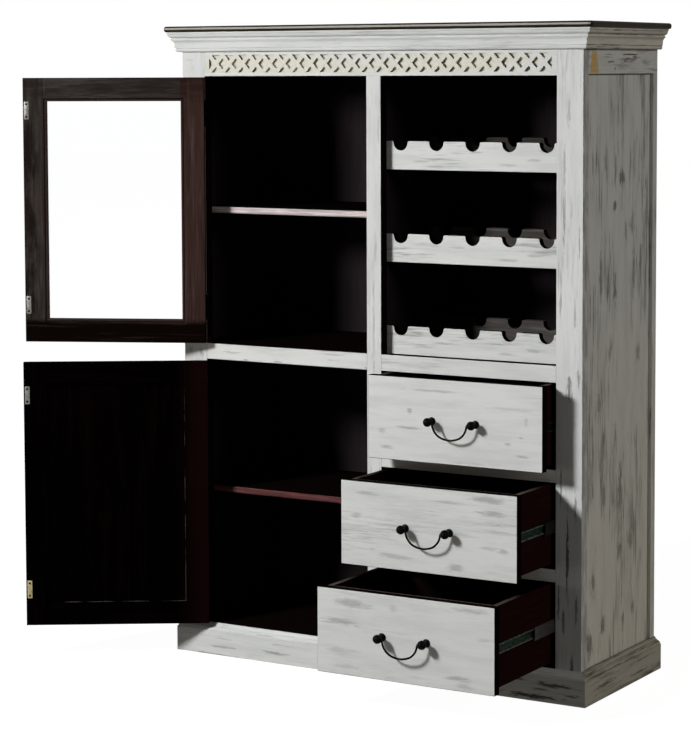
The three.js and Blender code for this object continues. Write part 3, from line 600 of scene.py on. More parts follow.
    def side(self, paint, wood, name, seed):
        """Grain upright on the panel and level above it, with a line of painted shade round the sunk panel.
        """
        outer = left_x if name == "side_left" else right_x
        sunk = outer - math.copysign(panel_depth, outer)
        panel = [vert.co for vert in nodes[name].data.vertices if abs(vert.co.x - sunk) < 0.0001]
        front = min(corner.y for corner in panel)
        back = max(corner.y for corner in panel)
        top = max(corner.z for corner in panel)
        shader = Shader("worn_paint_" + name)
        x, y, z = shader.axes()
        upright, rubbed, normal = paint_layers(
            shader, "Z", seed, 1.3, marks=Marks(name, "YZ", 0.9, self.side_marks))
        level, _, _ = paint_layers(
            shader, "Y", seed + 0.5, 1.3, marks=Marks(name, "YZ", 0.9, self.side_rail_marks))
        colour = shader.blend(z.step(top - 0.0003, top + 0.0003), upright, level)
        colour = shader.blend(z.step(1.1, 0.15), colour, (1.0, 0.95, 0.88), "MULTIPLY")
        # painted shade: a dark ragged line along the sunk panel's front, back and top edges, where the recess
        # is shaded
        ragged = shader.noise("Z", 20.0, 20.0, seed + 8.0, detail=4.0)
        line = strongest([
            (ragged * 0.002 + abs(axis - place)).step(0.0042, 0.002)
            for axis, place in ((y, front), (y, back), (z, top))])
        on_panel = abs(x - sunk).step(0.0006, 0.0003)
        colour = shader.blend(line * on_panel * 0.7, colour, paint.rubbed)
        if name == "side_right":
            colour = self.bare_patch(shader, paint, colour, abs(y - (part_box(name)[0].y + 0.03)), z - top)
        stain, _ = stain_layers(shader, "Z", wood.lining, wood.drawer_stain, 0.5, seed + 5)
        painted = abs(x - outer).step(0.0100, 0.0097)
        return shader.finish(shader.blend(painted, stain, colour), paint_roughness(rubbed), normal)

    def bare_patch(self, shader, paint, colour, across, up):
        """Patch of bare wood on the top rail near the front, broader below than above."""
        chip = shader.noise("Z", 90.0, 240.0, 12.0)
        uneven = chip * 0.008 + (across - (up * -0.22 + 0.024))
        height = up.step(0.0, 0.004) * up.step(0.058, 0.05)
        tone = shader.blend(chip.step(0.5, 0.75), paint.bare_wood, paint.thin_paint)
        return shader.blend(uneven.step(0.0055, 0.0025) * height * 0.95, colour, tone)

    def moulding(self, name, seed, quirks, side_tint, front_marks=None, side_marks=None):
        """Painted moulding whose grain follows the front and, round the corners, the sides, with painted
        shade along its quirks.
        """
        shader = Shader("worn_paint_" + name)
        # painted shade: dark lines along the quirks, faint on the front and doubled and darker on the sides,
        # laid through the edge wear
        faint_crease_shade = [("Z", place, 0.25) for place in quirks]
        dark_crease_shade = [("Z", place + shift, 0.9) for place in quirks for shift in (-0.0012, 0.0012)]
        along_front, rubbed, normal = paint_layers(shader, "X", seed, 0.6, faint_crease_shade, front_marks)
        along_side, _, _ = paint_layers(shader, "Y", seed + 0.5, 1.4, dark_crease_shade, side_marks)
        along_side = shader.blend(1.0, along_side, side_tint, "MULTIPLY")
        x, y, _ = shader.axes()
        colour = shader.blend(round_the_corner(x, y), along_front, along_side)
        return shader.finish(colour, paint_roughness(rubbed), normal)

    def partition(self, wood, seed):
        """Dark stain on the middle wall, with painted shade below the middle rails."""
        low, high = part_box("mid_rail_left")
        shader = Shader("dark_stain_partition")
        colour, normal = stain_layers(shader, "Z", wood.lining, wood.drawer_stain, 0.5, seed)
        # painted shade: below the middle rails the wall takes the near-black panel stain
        below = shader.axes()[2].step(high.z, low.z)
        return shader.finish(shader.blend(below, colour, wood.panel_stain), 0.6, normal)

    def top(self, wood):
        """Waxed board with a painted highlight: a light line along the upper half of its round nose."""
        shader = Shader("waxed_top")
        colour, normal = stain_layers(shader, "X", wood.top, wood.door_rub, 0.3, 31.0)
        x, y, z = shader.axes()
        wear_and_light_noise = shader.noise("X", 6.0, 120.0, 32.0, detail=4.0)
        # painted highlight: a ragged light line just below the nose's top, where the lamp catches it
        line = (wear_and_light_noise * 0.002 + abs(z - (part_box("top_board")[1].z - 0.0062))).step(0.0040, 0.0024)
        line = line * (1.0 - round_the_corner(x, y)) * 0.9
        return shader.finish(shader.blend(line, colour, (0.4, 0.38, 0.34)), 0.5, normal, 0.02)

    def frieze(self, paint):
        """White strips over a white sunk ground, with painted shade on the pocket walls and plain margins."""
        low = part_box("frieze_rail")[0].z
        shader = Shader("carved_frieze")
        _, y, z = shader.axes()
        colour, _, normal = paint_layers(shader, "X", 33.0, 0.3)
        below = (y - front_y).step(0.0003, 0.0008)
        ground = (y - front_y).step(0.0062, 0.0068)
        mottle = shader.noise("X", 150.0, 170.0, 35.0)
        ivory = shader.blend(mottle.step(0.35, 0.75), paint.ivory, scaled(paint.ivory, 0.85))
        warm = shader.noise("X", 3.0, 9.0, 34.0, detail=1.0)
        band = z.step(low + 0.0082, low + 0.0092) * z.step(low + 0.0532, low + 0.0522)
        colour = shader.blend(band * warm.step(0.3, 0.6), colour, ivory)
        # painted shade: the pockets' walls are greyed and darkened unevenly, standing for the shade in the
        # recesses
        rub = shader.noise("X", 30.0, 60.0, 36.0, detail=2.0)
        walls = shader.blend(rub.step(0.35, 0.6), (0.2, 0.19, 0.15), (0.6, 0.58, 0.5))
        colour = shader.blend(below * (1.0 - ground), colour, walls)
        return shader.finish(shader.blend(ground * below, colour, ivory), 0.55, normal)


class CABINET_OT_shelves(bpy.types.Operator):
    """Stained shelves with a rubbed front edge, and the painted and stained bottle rails"""

    bl_idname = "cabinet.shelves"
    bl_label = "Dress the shelves and bottle rails"

    rail_marks = (
        (0.83, 0.7, 0.04, 0.08, 0.25), (0.78, 0.4, 0.06, 0.08, 0.3), (0.64, 0.22, 0.06, 0.07, 0.28),
        (0.2, 0.3, 0.08, 0.06, 0.3), (0.38, 0.6, 0.05, 0.06, 0.25), (0.08, 0.75, 0.03, 0.06, 0.3),
    )

    def execute(self, context):
        wood = context.scene.cabinet_wood
        shelves = (("shelf_upper", 40.0, wood.shelf_edge), ("shelf_lower", 41.0, wood.shelf_red))
        for node, seed, edge in shelves:
            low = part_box(node)[0].y
            shader = Shader("stained_" + node)
            colour, normal = stain_layers(shader, "X", wood.inside, wood.drawer_stain, 0.5, seed)
            smudge = shader.noise("X", 12.0, 200.0, seed + 2.0)
            tint = shader.blend(smudge.step(0.35, 0.65), edge, scaled(edge, 0.6))
            front = shader.axes()[1].step(low + 0.004, low + 0.002)
            dress(node, shader.finish(shader.blend(front, colour, tint), 0.55, normal))
        # painted light and shade: the rear rails are made lighter on the upper tiers and darker on the lowest
        for tier, painted_light_scale in ((1, 1.6), (2, 1.3), (3, 0.85)):
            front_rail = f"rack_front_rail_{tier}"
            rear_rail = f"rack_rear_rail_{tier}"
            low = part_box(front_rail)[0]
            dress(front_rail, painted_board(
                front_rail, "X", 44.0 + tier, 0.95, [("Z", low.z, 0.5)], [("Y", low.y, 0.0)],
                Marks(front_rail, "XZ", 0.4, self.rail_marks)))
            dress(rear_rail, stained_board(
                f"rear_rail_{tier}", "X", scaled(wood.rear_rail, painted_light_scale), (0.26, 0.25, 0.225), 1.0,
                48.0 + tier))
            ease(front_rail)
            ease(rear_rail)
        return {"FINISHED"}


class CABINET_OT_doors(bpy.types.Operator):
    """Doors stained inside and painted outside, with clear glass and steel catch plates"""

    bl_idname = "cabinet.doors"
    bl_label = "Dress the doors"

    def execute(self, context):
        metal = context.scene.cabinet_metal
        for which, node, plates in (
                ("upper", "upper_door_frame", ((1.3895, metal.plate), (0.895, metal.plate))),
                ("lower", "lower_door", ((0.672, metal.plate), (0.1745, metal.brass)))):
            dress(node, self.door_finish(context, which, node))
            ease(node)
            for number, (height, tint) in enumerate(plates, 1):
                self.catch_plate(metal, which, number, height, tint)
        dress("upper_door_glass", self.glass())
        return {"FINISHED"}

    def door_finish(self, context, which, node):
        """Dark stain with its grain along each member inside, and worn paint outside."""
        wood = context.scene.cabinet_wood
        low, high = (corner.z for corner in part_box(node))
        shader = Shader(f"door_{which}")
        place = shader.measured_from(*door_pin(which))
        across, through, up = shader.axes(place)
        glazed = which == "upper"
        if glazed:
            dark, rub, amount = wood.door_grey, wood.door_rub, 0.6
        else:
            dark, rub, amount = wood.panel_stain, wood.drawer_stain, 0.2
        upright, normal = stain_layers(shader, "Z", dark, rub, amount, 50.0, place)
        level, _ = stain_layers(shader, "X", dark, rub, amount, 52.0, place)
        far = door_width - door_member
        rails = across.step(door_member, door_member + 0.0004) * across.step(far, far - 0.0004)
        if glazed:
            red = shader.blend(
                1.0, upright, tuple(part / grey for part, grey in zip(wood.door_stain, dark)), "MULTIPLY")
            upright = shader.blend(across.step(door_member + 0.0004, door_member), upright, red)
            colour = shader.blend(rails, upright, level)
            colour = self.glazed_wear(shader, wood, colour, place, across, up, low, high)
        else:
            floor, head = low + door_member, high - door_member
            panel = up.step(floor - 0.0002, floor + 0.0002) * up.step(head + 0.0002, head - 0.0002)
            colour = shader.blend(rails * (1.0 - panel), upright, level)
            colour = self.panel_wear(shader, wood, colour, across, up, low, high)
        coat, _, _ = paint_layers(shader, "Z", 54.0, 0.9, place=place)
        colour = shader.blend(self.outside(across, through, up, low, high), colour, coat)
        leaves = across.step(-0.0001, -0.0003).most(through.step(door_face - 0.0001, door_face - 0.0003))
        return shader.finish(shader.blend(leaves, colour, context.scene.cabinet_metal.iron), 0.55, normal)

    def outside(self, across, through, up, low, high):
        """1 on the outer face of a door and on its sunk panel."""
        face = through.step(door_face + 0.0008, door_face + 0.0002)
        margin = door_member / 2
        sunk = through.step(door_face + 0.0078, door_face + 0.0072)
        for axis, start, end in ((across, 0.0, door_width), (up, low, high)):
            sunk = sunk * axis.step(start + margin, start + margin + 0.001)
            sunk = sunk * axis.step(end - margin, end - margin - 0.001)
        return face.most(sunk)

    def glazed_wear(self, shader, wood, colour, place, across, up, low, high):
        """Nearly black bottom rail, clouded free stile, and a dark line round the window's bevel."""
        blotch = shader.noise("Z", 8.0, 30.0, 55.0, detail=4.0, roughness=0.65, place=place)
        level = shader.noise("X", 8.0, 45.0, 56.0, detail=4.0, roughness=0.65, place=place)
        far, floor, head = door_width - door_member, low + door_member, high - door_member
        bottom = (level * 0.03 + up).step(low + 0.08, low + 0.06)
        free = across.step(far, door_width - 0.02) * blotch.step(0.4, 0.6)
        above = up.step(head - 0.01, head + 0.02) * level.step(0.4, 0.62)
        from_window = (door_member - across).most(across - far).most((floor - up).most(up - head))
        quirk = abs(from_window - 0.0062).step(0.0022, 0.0009)
        colour = shader.blend(
            strongest([bottom, free * 0.75, above * 0.5, quirk * 0.9]), colour, wood.door_dark)
        colour = shader.blend(from_window.step(0.005, 0.004) * 0.6, colour, wood.door_stain)
        grain = shader.noise("X", 6.0, 260.0, 57.0, place=place)
        return shader.blend(bottom * grain.step(0.56, 0.72) * 0.09, colour, wood.door_rub)

    def panel_wear(self, shader, wood, colour, across, up, low, high):
        """Reddish stain fading in towards the hinges, and a broken rubbed line round the panel."""
        far, floor, head = door_width - door_member, low + door_member, high - door_member
        colour = shader.blend(across.step(door_member + 0.03, 0.01) * 0.42, colour, wood.drawer_stain)
        upright = abs(across - (door_member - 0.0006)).step(0.0012, 0.0006)
        level = abs(up - (floor - 0.0006)).step(0.0012, 0.0006)
        beside = up.step(floor - 0.001, floor) * up.step(head + 0.02, head)
        above = across.step(door_member - 0.001, door_member) * across.step(far - 0.03, far - 0.05)
        broken = shader.noise("Z", 14.0, 14.0, 58.0)
        line = (upright * beside).most(level * above) * broken.step(0.4, 0.65)
        return shader.blend(line * 0.45, colour, wood.door_rub)

    def catch_plate(self, metal, which, number, height, tint):
        """Flat steel plate with softened corners and two screws, laid on the inner face."""
        corner_radius, rim_radius = 0.002, 0.0003
        gap_to_edge, screw_reach = 0.003, 0.016
        name = f"{which}_catch_plate_{number}"
        form = bmesh.new()
        bmesh.ops.create_cube(form, size=1.0)
        size = (metal.plate_width, metal.plate_thickness, metal.plate_height)
        bmesh.ops.scale(form, vec=size, verts=form.verts)
        corners = [edge for edge in form.edges
                   if abs((edge.verts[0].co - edge.verts[1].co).y) > metal.plate_thickness * 0.5]
        bmesh.ops.bevel(
            form, geom=corners, offset=corner_radius, segments=4, affect="EDGES", profile=0.5, material=-1)
        rim = [edge for edge in form.edges if all(vert.co.y > 0 for vert in edge.verts)]
        bmesh.ops.bevel(
            form, geom=rim, offset=rim_radius, segments=2, affect="EDGES", profile=0.5, material=-1)
        reach = door_width - gap_to_edge - metal.plate_width / 2
        inner_face = door_face + door_thickness
        turn = door_turn(which)
        place = turn @ Matrix.Translation((reach, inner_face + metal.plate_thickness / 2, height))
        bmesh.ops.transform(form, matrix=place, verts=form.verts)
        body = f"{which}_door"
        place_piece(name, form, steel_finish(name, tint, 0.42, 60.0), body, 35)
        for screw, offset in ((1, -screw_reach), (2, screw_reach)):
            seat = (reach, inner_face + metal.plate_thickness, height + offset)
            self.screw_head(f"{name}_screw_{screw}", turn, seat, metal, body)

    def screw_head(self, name, turn, seat, metal, body):
        """Domed head with a cross on it, screwed into the inner face of a door."""
        radius = metal.screw_radius
        profile = [(0.0, 0.0), (1.0, 0.0), (0.97, 0.12), (0.75, 0.3), (0.4, 0.38), (0.0, 0.4)]
        form = turned_form([(radius * out, radius * up) for out, up in profile], (0, 0, 0), (0, 0, 1), 20)
        for angle in (0.0, math.pi / 2):
            bar = bmesh.new()
            bmesh.ops.create_cube(bar, size=1.0)
            bmesh.ops.scale(bar, vec=(radius * 1.1, radius * 0.2, radius * 0.1), verts=bar.verts)
            bmesh.ops.rotate(bar, cent=(0, 0, 0), matrix=Matrix.Rotation(angle, 3, "Z"), verts=bar.verts)
            bmesh.ops.translate(bar, vec=(0, 0, radius * 0.38), verts=bar.verts)
            copy = bpy.data.meshes.new("bar")
            bar.to_mesh(copy)
            bar.free()
            form.from_mesh(copy)
            bpy.data.meshes.remove(copy)
        out = turn.to_3x3() @ Vector((0.0, 1.0, 0.0))
        facing = out.to_track_quat("Z", "Y").to_matrix().to_4x4()
        bmesh.ops.transform(form, matrix=Matrix.Translation(turn @ Vector(seat)) @ facing, verts=form.verts)
        place_piece(name, form, steel_finish(name, metal.iron, 0.4, 64.0), body, 30)

    def glass(self):
        """Clear pane that lets the light through and keeps a faint sheen."""
        shader = Shader("clear_glass")
        clear = shader.made("BsdfTransparent", 0, {"Color": (0.996, 0.999, 0.998)})
        sheen = shader.made("BsdfGlossy", 0, {"Roughness": 0.02})
        fresnel = shader.made("Fresnel", 0, {"IOR": 1.45})
        pane = shader.made("MixShader", 0, {0: fresnel * 0.35, 1: clear, 2: sheen})
        shader.feed(shader.output.inputs["Surface"], pane)
        shader.tree.nodes.remove(shader.surface)
        return shader.material


class CABINET_OT_hinges(bpy.types.Operator):
    """Blackened butt hinges between the left stile and the doors"""

    bl_idname = "cabinet.hinges"
    bl_label = "Dress the hinges"

    def execute(self, context):
        for which in ("upper", "lower"):
            for number in (1, 2):
                hinge = f"{which}_hinge_{number}"
                dress(hinge, iron_finish(hinge, 70.0 + number))
        return {"FINISHED"}


class CABINET_OT_drawers(bpy.types.Operator):
    """Painted drawer fronts on dark stained boxes"""

    bl_idname = "cabinet.drawers"
    bl_label = "Dress the drawers"

    front_marks = (
        (
            (0.38, 0.86, 0.19, 0.019, 0.32), (0.245, 0.6, 0.02, 0.047, 0.45), (0.24, 0.4, 0.08, 0.022, 0.4),
            (0.11, 0.15, 0.05, 0.027, 0.35), (0.82, 0.71, 0.16, 0.022, 0.2),
            (0.91, 0.58, 0.015, 0.068, 0.22), (0.81, 0.3, 0.025, 0.027, 0.35),
            (0.88, 0.385, 0.02, 0.016, 0.4), (0.886, 0.17, 0.055, 0.024, 0.35),
            (0.08, 0.34, 0.025, 0.054, 0.25), (0.6, 0.04, 0.2, 0.027, 0.15),
        ),
        (
            (0.153, 0.866, 0.08, 0.03, 0.3), (0.095, 0.59, 0.04, 0.041, 0.3),
            (0.616, 0.854, 0.17, 0.027, 0.3), (0.847, 0.93, 0.14, 0.054, 0.42),
            (0.858, 0.77, 0.11, 0.043, 0.38), (0.895, 0.65, 0.022, 0.016, 0.4),
            (0.305, 0.157, 0.13, 0.041, 0.3), (0.663, 0.11, 0.065, 0.068, 0.38),
            (0.92, 0.353, 0.035, 0.038, 0.35), (0.842, 0.367, 0.08, 0.027, 0.25),
            (0.18, 0.215, 0.022, 0.018, 0.35), (0.37, 0.68, 0.17, 0.121, 0.14),
        ),
        (
            (0.204, 0.844, 0.13, 0.061, 0.4), (0.133, 0.62, 0.13, 0.054, 0.42),
            (0.437, 0.85, 0.025, 0.054, 0.22), (0.805, 0.142, 0.09, 0.038, 0.42),
            (0.837, 0.065, 0.06, 0.041, 0.25), (0.133, 0.28, 0.08, 0.068, 0.2),
            (0.166, 0.1, 0.12, 0.041, 0.2), (0.87, 0.932, 0.12, 0.041, 0.3),
            (0.946, 0.618, 0.06, 0.03, 0.25),
        ),
    )

    def execute(self, context):
        for number, cover, places in zip((1, 2, 3), (0.2, 0.55, 0.45), self.front_marks):
            front = f"drawer_{number}_front"
            low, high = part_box(front)
            dress(front, painted_board(
                front, "X", 80.0 + 3.7 * number, cover, [("Z", high.z, 0.4), ("X", high.x, 0.3)],
                [("Y", low.y, 0.0)], Marks(front, "XZ", 0.2, places)))
            ease(front)
            dress(f"drawer_{number}_box", self.box_finish(context, number))
        return {"FINISHED"}

    def box_finish(self, context, number):
        """Dark red-brown stain with rubbed top edges that are painted lighter as if lit near the front, and
        zinc on the slides' inner channels with painted shade and painted highlights.
        """
        wood = context.scene.cabinet_wood
        metal = context.scene.cabinet_metal
        low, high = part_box(f"drawer_{number}_box")
        seed = 90.0 + number
        shader = Shader(f"stained_drawer_{number}_box")
        x, y, z = shader.axes()
        colour, normal = stain_layers(shader, "Y", wood.drawer_stain, wood.door_rub, 0.06, seed)
        inside = x.step(low.x + 0.008, low.x + 0.0085) * x.step(high.x - 0.008, high.x - 0.0085)
        colour = shader.blend(inside * 0.85, colour, wood.inside)
        # wear and painted light: the top edges are rubbed lighter, and this fades into painted shade towards
        # the back
        wear_and_light_noise = shader.noise("Y", 20.0, 200.0, seed + 3.0)
        top = z.step(high.z - 0.0012, high.z - 0.0004) * wear_and_light_noise.step(0.25, 0.6)
        lit_near_front = y.step(low.y + 0.15, low.y + 0.04)
        colour = shader.blend(top * lit_near_front, colour, wood.drawer_edge_wear_and_light)
        channel_low, channel_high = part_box(f"slide_mid_right_{number}")
        from_middle = abs(z - (channel_low.z + channel_high.z) / 2)
        clouds = shader.noise("Y", 90.0, 200.0, seed + 5.0, detail=4.0, roughness=0.7)
        # painted light and shade: the channel's web is dark as shade in its hollow, and its lips are light as
        # lit rims
        zinc = shader.blend(from_middle.step(0.0082, 0.0092), metal.zinc, metal.zinc_lip_highlight)
        zinc = shader.blend(clouds.step(0.42, 0.62) * 0.85, zinc, wood.inside)
        # painted shade: drawer 1's channel is darkened further, as it lies in shade
        if number == 1:
            zinc = shader.blend(0.85, zinc, wood.inside)
        channel = x.step(low.x + 0.0053, low.x + 0.005).most(x.step(high.x - 0.0053, high.x - 0.005))
        colour = shader.blend(channel, colour, zinc)
        return shader.finish(colour, channel * -0.12 + 0.6, normal, metallic=channel * 0.15)


class CABINET_OT_slides(bpy.types.Operator):
    """Dulled zinc plate on the side slides, darkened behind the upper two drawers as painted shade"""

    bl_idname = "cabinet.slides"
    bl_label = "Dress the slides"

    def execute(self, context):
        # painted shade: the slides of drawers 1 and 2 are darkened, as they lie in shade
        for number, painted_light_scale in ((1, 0.1), (2, 0.06), (3, 1.0)):
            tint = scaled(context.scene.cabinet_metal.worn_zinc, painted_light_scale)
            for side in ("left", "right"):
                for part in ("cabinet", "mid"):
                    node = f"slide_{part}_{side}_{number}"
                    dress(node, steel_finish(node, tint, 0.5, 100.0 + number, 0.1))
        return {"FINISHED"}


def smooth_path(knots, steps):
    """Points of a centripetal curve through the knots."""
    path = [knots[0]]
    padded = [knots[0] * 2 - knots[1]] + knots + [knots[-1] * 2 - knots[-2]]
    for a, b, c, d in zip(padded, padded[1:], padded[2:], padded[3:]):
        times = [0.0]
        for first, second in ((a, b), (b, c), (c, d)):
            times.append(times[-1] + max((second - first).length, 1e-9) ** 0.5)
        for step in range(1, steps + 1):
            t = times[1] + (times[2] - times[1]) * step / steps
            ab = a.lerp(b, t / times[1])
            bc = b.lerp(c, (t - times[1]) / (times[2] - times[1]))
            cd = c.lerp(d, (t - times[2]) / (times[3] - times[2]))
            abc = ab.lerp(bc, t / times[2])
            bcd = bc.lerp(cd, (t - times[1]) / (times[3] - times[1]))
            path.append(abc.lerp(bcd, (t - times[1]) / (times[2] - times[1])))
    return path


class CABINET_OT_pulls(bpy.types.Operator):
    """Iron bail pulls: a smooth rod that swings between two ball posts on rosettes"""

    bl_idname = "cabinet.pulls"
    bl_label = "Make the bail pulls"

    def execute(self, context):
        fit = context.scene.cabinet_fittings
        for number in (1, 2, 3):
            finish = iron_finish(f"pull_{number}", 110.0 + number)
            hinge = Vector(joints[f"bail_{number}_swing"]["pos_m"])
            for side, inward in (("left", 1), ("right", -1)):
                self.post(f"pull_{number}_post_{side}", finish, f"drawer_{number}", hinge, inward, fit)
            self.rod(number, finish, hinge, fit)
        return {"FINISHED"}

    def post(self, node, finish, body, hinge, inward, fit):
        """Ball on a waisted neck, flattened where the rod enters."""
        radius, neck_radius = 0.01075, 0.0046
        flat_reach, neck_height = 0.0085, 0.0115
        low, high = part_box(node)
        middle = Vector((high.x - radius if inward < 0 else low.x + radius, high.y, (low.z + high.z) / 2))
        foot = [(0.0, 0.0), (0.0098, 0.0), (0.0100, 0.0004), (0.0100, 0.0010), (0.0094, 0.0016),
                (0.0080, 0.0020), (0.0062, 0.0026), (0.0048, 0.0038), (0.0043, 0.0056),
                (0.0042, 0.0090), (0.0044, 0.0112)]
        profile = ball_on_neck(foot, neck_radius, radius, middle.y - hinge.y, 18)
        form = turned_form(profile, middle, (0, -1, 0), fit.turned_steps)
        flat = middle.x + inward * flat_reach
        bmesh.ops.bisect_plane(
            form, geom=form.verts[:] + form.edges[:] + form.faces[:], plane_co=(flat, hinge.y, hinge.z),
            plane_no=(inward, 0, 0), clear_outer=False, clear_inner=False)
        neck_end = middle.y - neck_height
        for vert in form.verts:
            if (vert.co.x - flat) * inward > 1e-6 and vert.co.y < neck_end:
                vert.co.x = flat
        bmesh.ops.remove_doubles(form, verts=form.verts, dist=0.00002)
        bmesh.ops.dissolve_degenerate(form, edges=form.edges, dist=1e-6)
        place_piece("smooth_" + node, form, finish, body, 40, (node,))

    def rod(self, number, finish, hinge, fit):
        """Round rod swept through the bail's curve by extruding and turning its end ring."""
        rod_radius, half = 0.0025, 0.0585
        shares = [(0.94, 0.0), (0.855, 0.0), (0.815, -0.012), (0.785, -0.09), (0.765, -0.18), (0.68, -0.36),
                  (0.48, -0.55), (0.2, -0.65), (0.0, -0.67)]
        knots = [Vector((-x * half, 0.0, z * half)) for x, z in shares]
        knots += [Vector((x * half, 0.0, z * half)) for x, z in reversed(shares[:-1])]
        path = smooth_path(knots, 7)
        form = bmesh.new()
        bmesh.ops.create_circle(form, cap_ends=True, radius=rod_radius, segments=fit.rod_steps)
        bmesh.ops.rotate(form, cent=(0, 0, 0), matrix=Matrix.Rotation(math.pi / 2, 3, "Y"), verts=form.verts)
        bmesh.ops.translate(form, vec=path[0], verts=form.verts)
        ring = [edge for edge in form.edges if len(edge.link_faces) == 1]
        heading = 0.0
        for here, there, after in zip(path, path[1:], path[2:] + [path[-1] + (path[-1] - path[-2])]):
            made = bmesh.ops.extrude_edge_only(form, edges=ring)["geom"]
            verts = [item for item in made if isinstance(item, bmesh.types.BMVert)]
            ring = [item for item in made if isinstance(item, bmesh.types.BMEdge)]
            bmesh.ops.translate(form, vec=there - here, verts=verts)
            way = after - here
            turn = math.atan2(-way.z, way.x)
            bmesh.ops.rotate(form, cent=there, matrix=Matrix.Rotation(turn - heading, 3, "Y"), verts=verts)
            heading = turn
        bmesh.ops.contextual_create(form, geom=ring)
        bmesh.ops.translate(form, vec=hinge, verts=form.verts)
        place_piece(f"smooth_bail_{number}", form, finish, f"bail_{number}", 50,
                    (f"pull_{number}_bail",))


class CABINET_OT_knobs(bpy.types.Operator):
    """Turned iron knobs on the outer faces of the doors"""

    bl_idname = "cabinet.knobs"
    bl_label = "Make the door knobs"

    def execute(self, context):
        foot = [(0.0, 0.0), (0.0108, 0.0), (0.0110, 0.0005), (0.0110, 0.0011), (0.0100, 0.0018),
                (0.0078, 0.0024), (0.0056, 0.0034), (0.0044, 0.0050), (0.0042, 0.0090)]
        neck_radius, ball_radius, stand = 0.0044, 0.0125, 0.023
        profile = ball_on_neck(foot, neck_radius, ball_radius, stand, 20)
        for which in ("upper", "lower"):
            node = f"{which}_door_knob"
            low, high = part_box(node)
            turn = door_turn(which)
            seat = turn @ Vector((door_width - door_member / 2, door_face - 0.0003, (low.z + high.z) / 2))
            out = turn.to_3x3() @ Vector((0.0, -1.0, 0.0))
            form = turned_form(profile, seat, out, context.scene.cabinet_fittings.turned_steps)
            place_piece("smooth_" + node, form, iron_finish(node, 120.0), f"{which}_door", 40,
                        (node,))
        return {"FINISHED"}


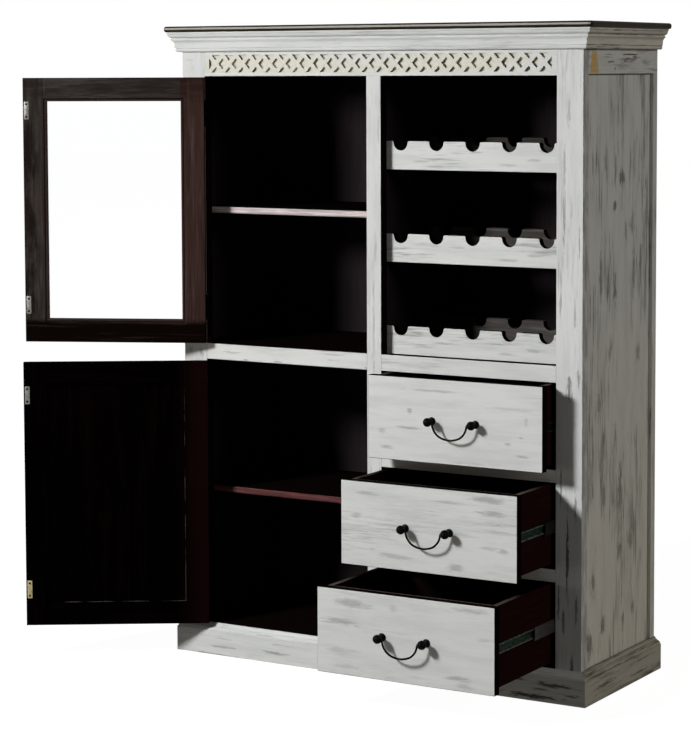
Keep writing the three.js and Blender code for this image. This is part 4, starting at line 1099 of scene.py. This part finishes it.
class CABINET_OT_stage(bpy.types.Operator):
    """Pale floor and background, two lamps at the left, a faint light on the right, and the camera"""

    bl_idname = "cabinet.stage"
    bl_label = "Set the stage"

    def execute(self, context):
        studio = context.scene.cabinet_studio
        self.floor()
        self.world(context, studio)
        self.lamp("key", studio.key, studio.key_radius, (-1.3, front_y - 2.2, 1.95), (1.0, 1.0, 1.0))
        self.lamp("fill", studio.fill, studio.fill_radius, (-1.5, front_y - 2.0, 0.2), (1.0, 0.9, 0.76))
        self.side_light(studio)
        self.camera(context)
        context.scene.view_settings.view_transform = "Standard"
        return {"FINISHED"}

    def floor(self):
        """Grey to the light that it scatters and nearly white to the camera, so it keeps the shadow."""
        form = bmesh.new()
        bmesh.ops.create_grid(form, x_segments=1, y_segments=1, size=30.0)
        mesh = bpy.data.meshes.new("floor")
        form.to_mesh(mesh)
        form.free()
        floor = add_object("floor", mesh)
        shader = Shader("pale_floor")
        shader.finish((0.15, 0.15, 0.15), 0.9)
        glow = shader.made("Emission", 0, {"Color": (1.0, 1.0, 1.0), "Strength": 0.975})
        faint = shader.made("BsdfDiffuse", 0, {"Color": (0.12, 0.12, 0.12)})
        pale = shader.made("AddShader", 0, {0: glow, 1: faint})
        grey = Field(shader, shader.surface.outputs[0])
        chosen = shader.made("MixShader", 0, {0: shader.seen_straight(), 1: grey, 2: pale})
        shader.feed(shader.output.inputs["Surface"], chosen)
        mesh.materials.append(shader.material)

    def world(self, context, studio):
        """Faint even light, and white behind the cabinet."""
        world = bpy.data.worlds.new("studio")
        world.use_nodes = True
        tree = Nodes(world.node_tree)
        even = tree.made("Background", 0, {"Color": (1.0, 0.98, 0.88), "Strength": studio.sky})
        white = tree.made("Background", 0, {"Color": (1.0, 1.0, 1.0)})
        mix = tree.made("MixShader", 0, {0: tree.seen_straight(), 1: even, 2: white})
        tree.feed(tree.add("OutputWorld").inputs[0], mix)
        context.scene.world = world

    def lamp(self, name, power, radius, place, tint):
        """Round lamp that doesn't fade with distance."""
        lamp = bpy.data.lights.new(name, "POINT")
        lamp.energy = power
        lamp.shadow_soft_size = radius
        lamp.color = tint
        lamp.use_nodes = True
        tree = lamp.node_tree
        even = tree.nodes.new("ShaderNodeLightFalloff")
        even.inputs["Strength"].default_value = 1.0
        glow = next(node for node in tree.nodes if node.bl_idname == "ShaderNodeEmission")
        tree.links.new(even.outputs["Constant"], glow.inputs["Strength"])
        holder = add_object(name, lamp)
        holder.location = place
        holder.visible_camera = False

    def side_light(self, studio):
        """Broad warm light on the right side, which the two lamps don't reach."""
        lamp = bpy.data.lights.new("side", "SUN")
        lamp.energy = studio.side
        lamp.color = (1.0, 0.95, 0.86)
        lamp.angle = math.radians(25)
        side = add_object("side", lamp)
        side.rotation_euler = Vector((0.93, -0.13, 0.35)).to_track_quat("Z", "Y").to_euler()
        side.location = (4.0, 0.8, 2.0)

    def camera(self, context):
        """The viewing angle of the photograph: from the right of the front, a little above."""
        lens = bpy.data.cameras.new("camera")
        camera = add_object("camera", lens)
        yaw, pitch, roll = (math.radians(angle) for angle in (30.9193, 4.4, -0.2093))
        ahead = Vector((-math.sin(yaw) * math.cos(pitch), math.cos(yaw) * math.cos(pitch), -math.sin(pitch)))
        right = Vector((math.cos(yaw), math.sin(yaw), 0.0))
        up = right.cross(ahead)
        tilted_right = right * math.cos(roll) + up * math.sin(roll)
        tilted_up = up * math.cos(roll) - right * math.sin(roll)
        turn = Matrix((tilted_right, tilted_up, -ahead)).transposed().to_4x4()
        camera.matrix_world = Matrix.Translation((2.96025, -5.28706, 1.49046)) @ turn
        focal_pixels, image_height = 2422.49, 732
        lens.sensor_width = 36.0
        lens.lens = focal_pixels / image_height * lens.sensor_width
        lens.shift_y = -0.1505
        lens.clip_end = 100.0
        context.scene.camera = camera


settings_groups = {
    "cabinet_paint": PaintSettings,
    "cabinet_wood": WoodSettings,
    "cabinet_metal": MetalSettings,
    "cabinet_fittings": FittingSettings,
    "cabinet_studio": StudioSettings,
}

operators = (
    CABINET_OT_carcass,
    CABINET_OT_shelves,
    CABINET_OT_doors,
    CABINET_OT_hinges,
    CABINET_OT_drawers,
    CABINET_OT_slides,
    CABINET_OT_pulls,
    CABINET_OT_knobs,
    CABINET_OT_stage,
)


class CABINET_PT_panel(bpy.types.Panel):
    """Lists the cabinet's settings and its making steps"""

    bl_label = "Painted Wine Cabinet"
    bl_idname = "CABINET_PT_panel"
    bl_space_type = "VIEW_3D"
    bl_region_type = "UI"
    bl_category = "Cabinet"

    def draw(self, context):
        for operator in operators:
            self.layout.operator(operator.bl_idname)
        for name, group in settings_groups.items():
            box = self.layout.box()
            values = getattr(context.scene, name)
            for key in group.__annotations__:
                box.prop(values, key)


classes = (*settings_groups.values(), *operators, CABINET_PT_panel)


def register():
    for item in classes:
        bpy.utils.register_class(item)
    for name, group in settings_groups.items():
        setattr(bpy.types.Scene, name, PointerProperty(type=group))


def unregister():
    for name in settings_groups:
        delattr(bpy.types.Scene, name)
    for item in reversed(classes):
        bpy.utils.unregister_class(item)


def main():
    register()
    bpy.ops.cabinet.carcass()
    bpy.ops.cabinet.shelves()
    bpy.ops.cabinet.doors()
    bpy.ops.cabinet.hinges()
    bpy.ops.cabinet.drawers()
    bpy.ops.cabinet.slides()
    bpy.ops.cabinet.pulls()
    bpy.ops.cabinet.knobs()
    bpy.ops.cabinet.stage()


if __name__ == "__main__":
    main()
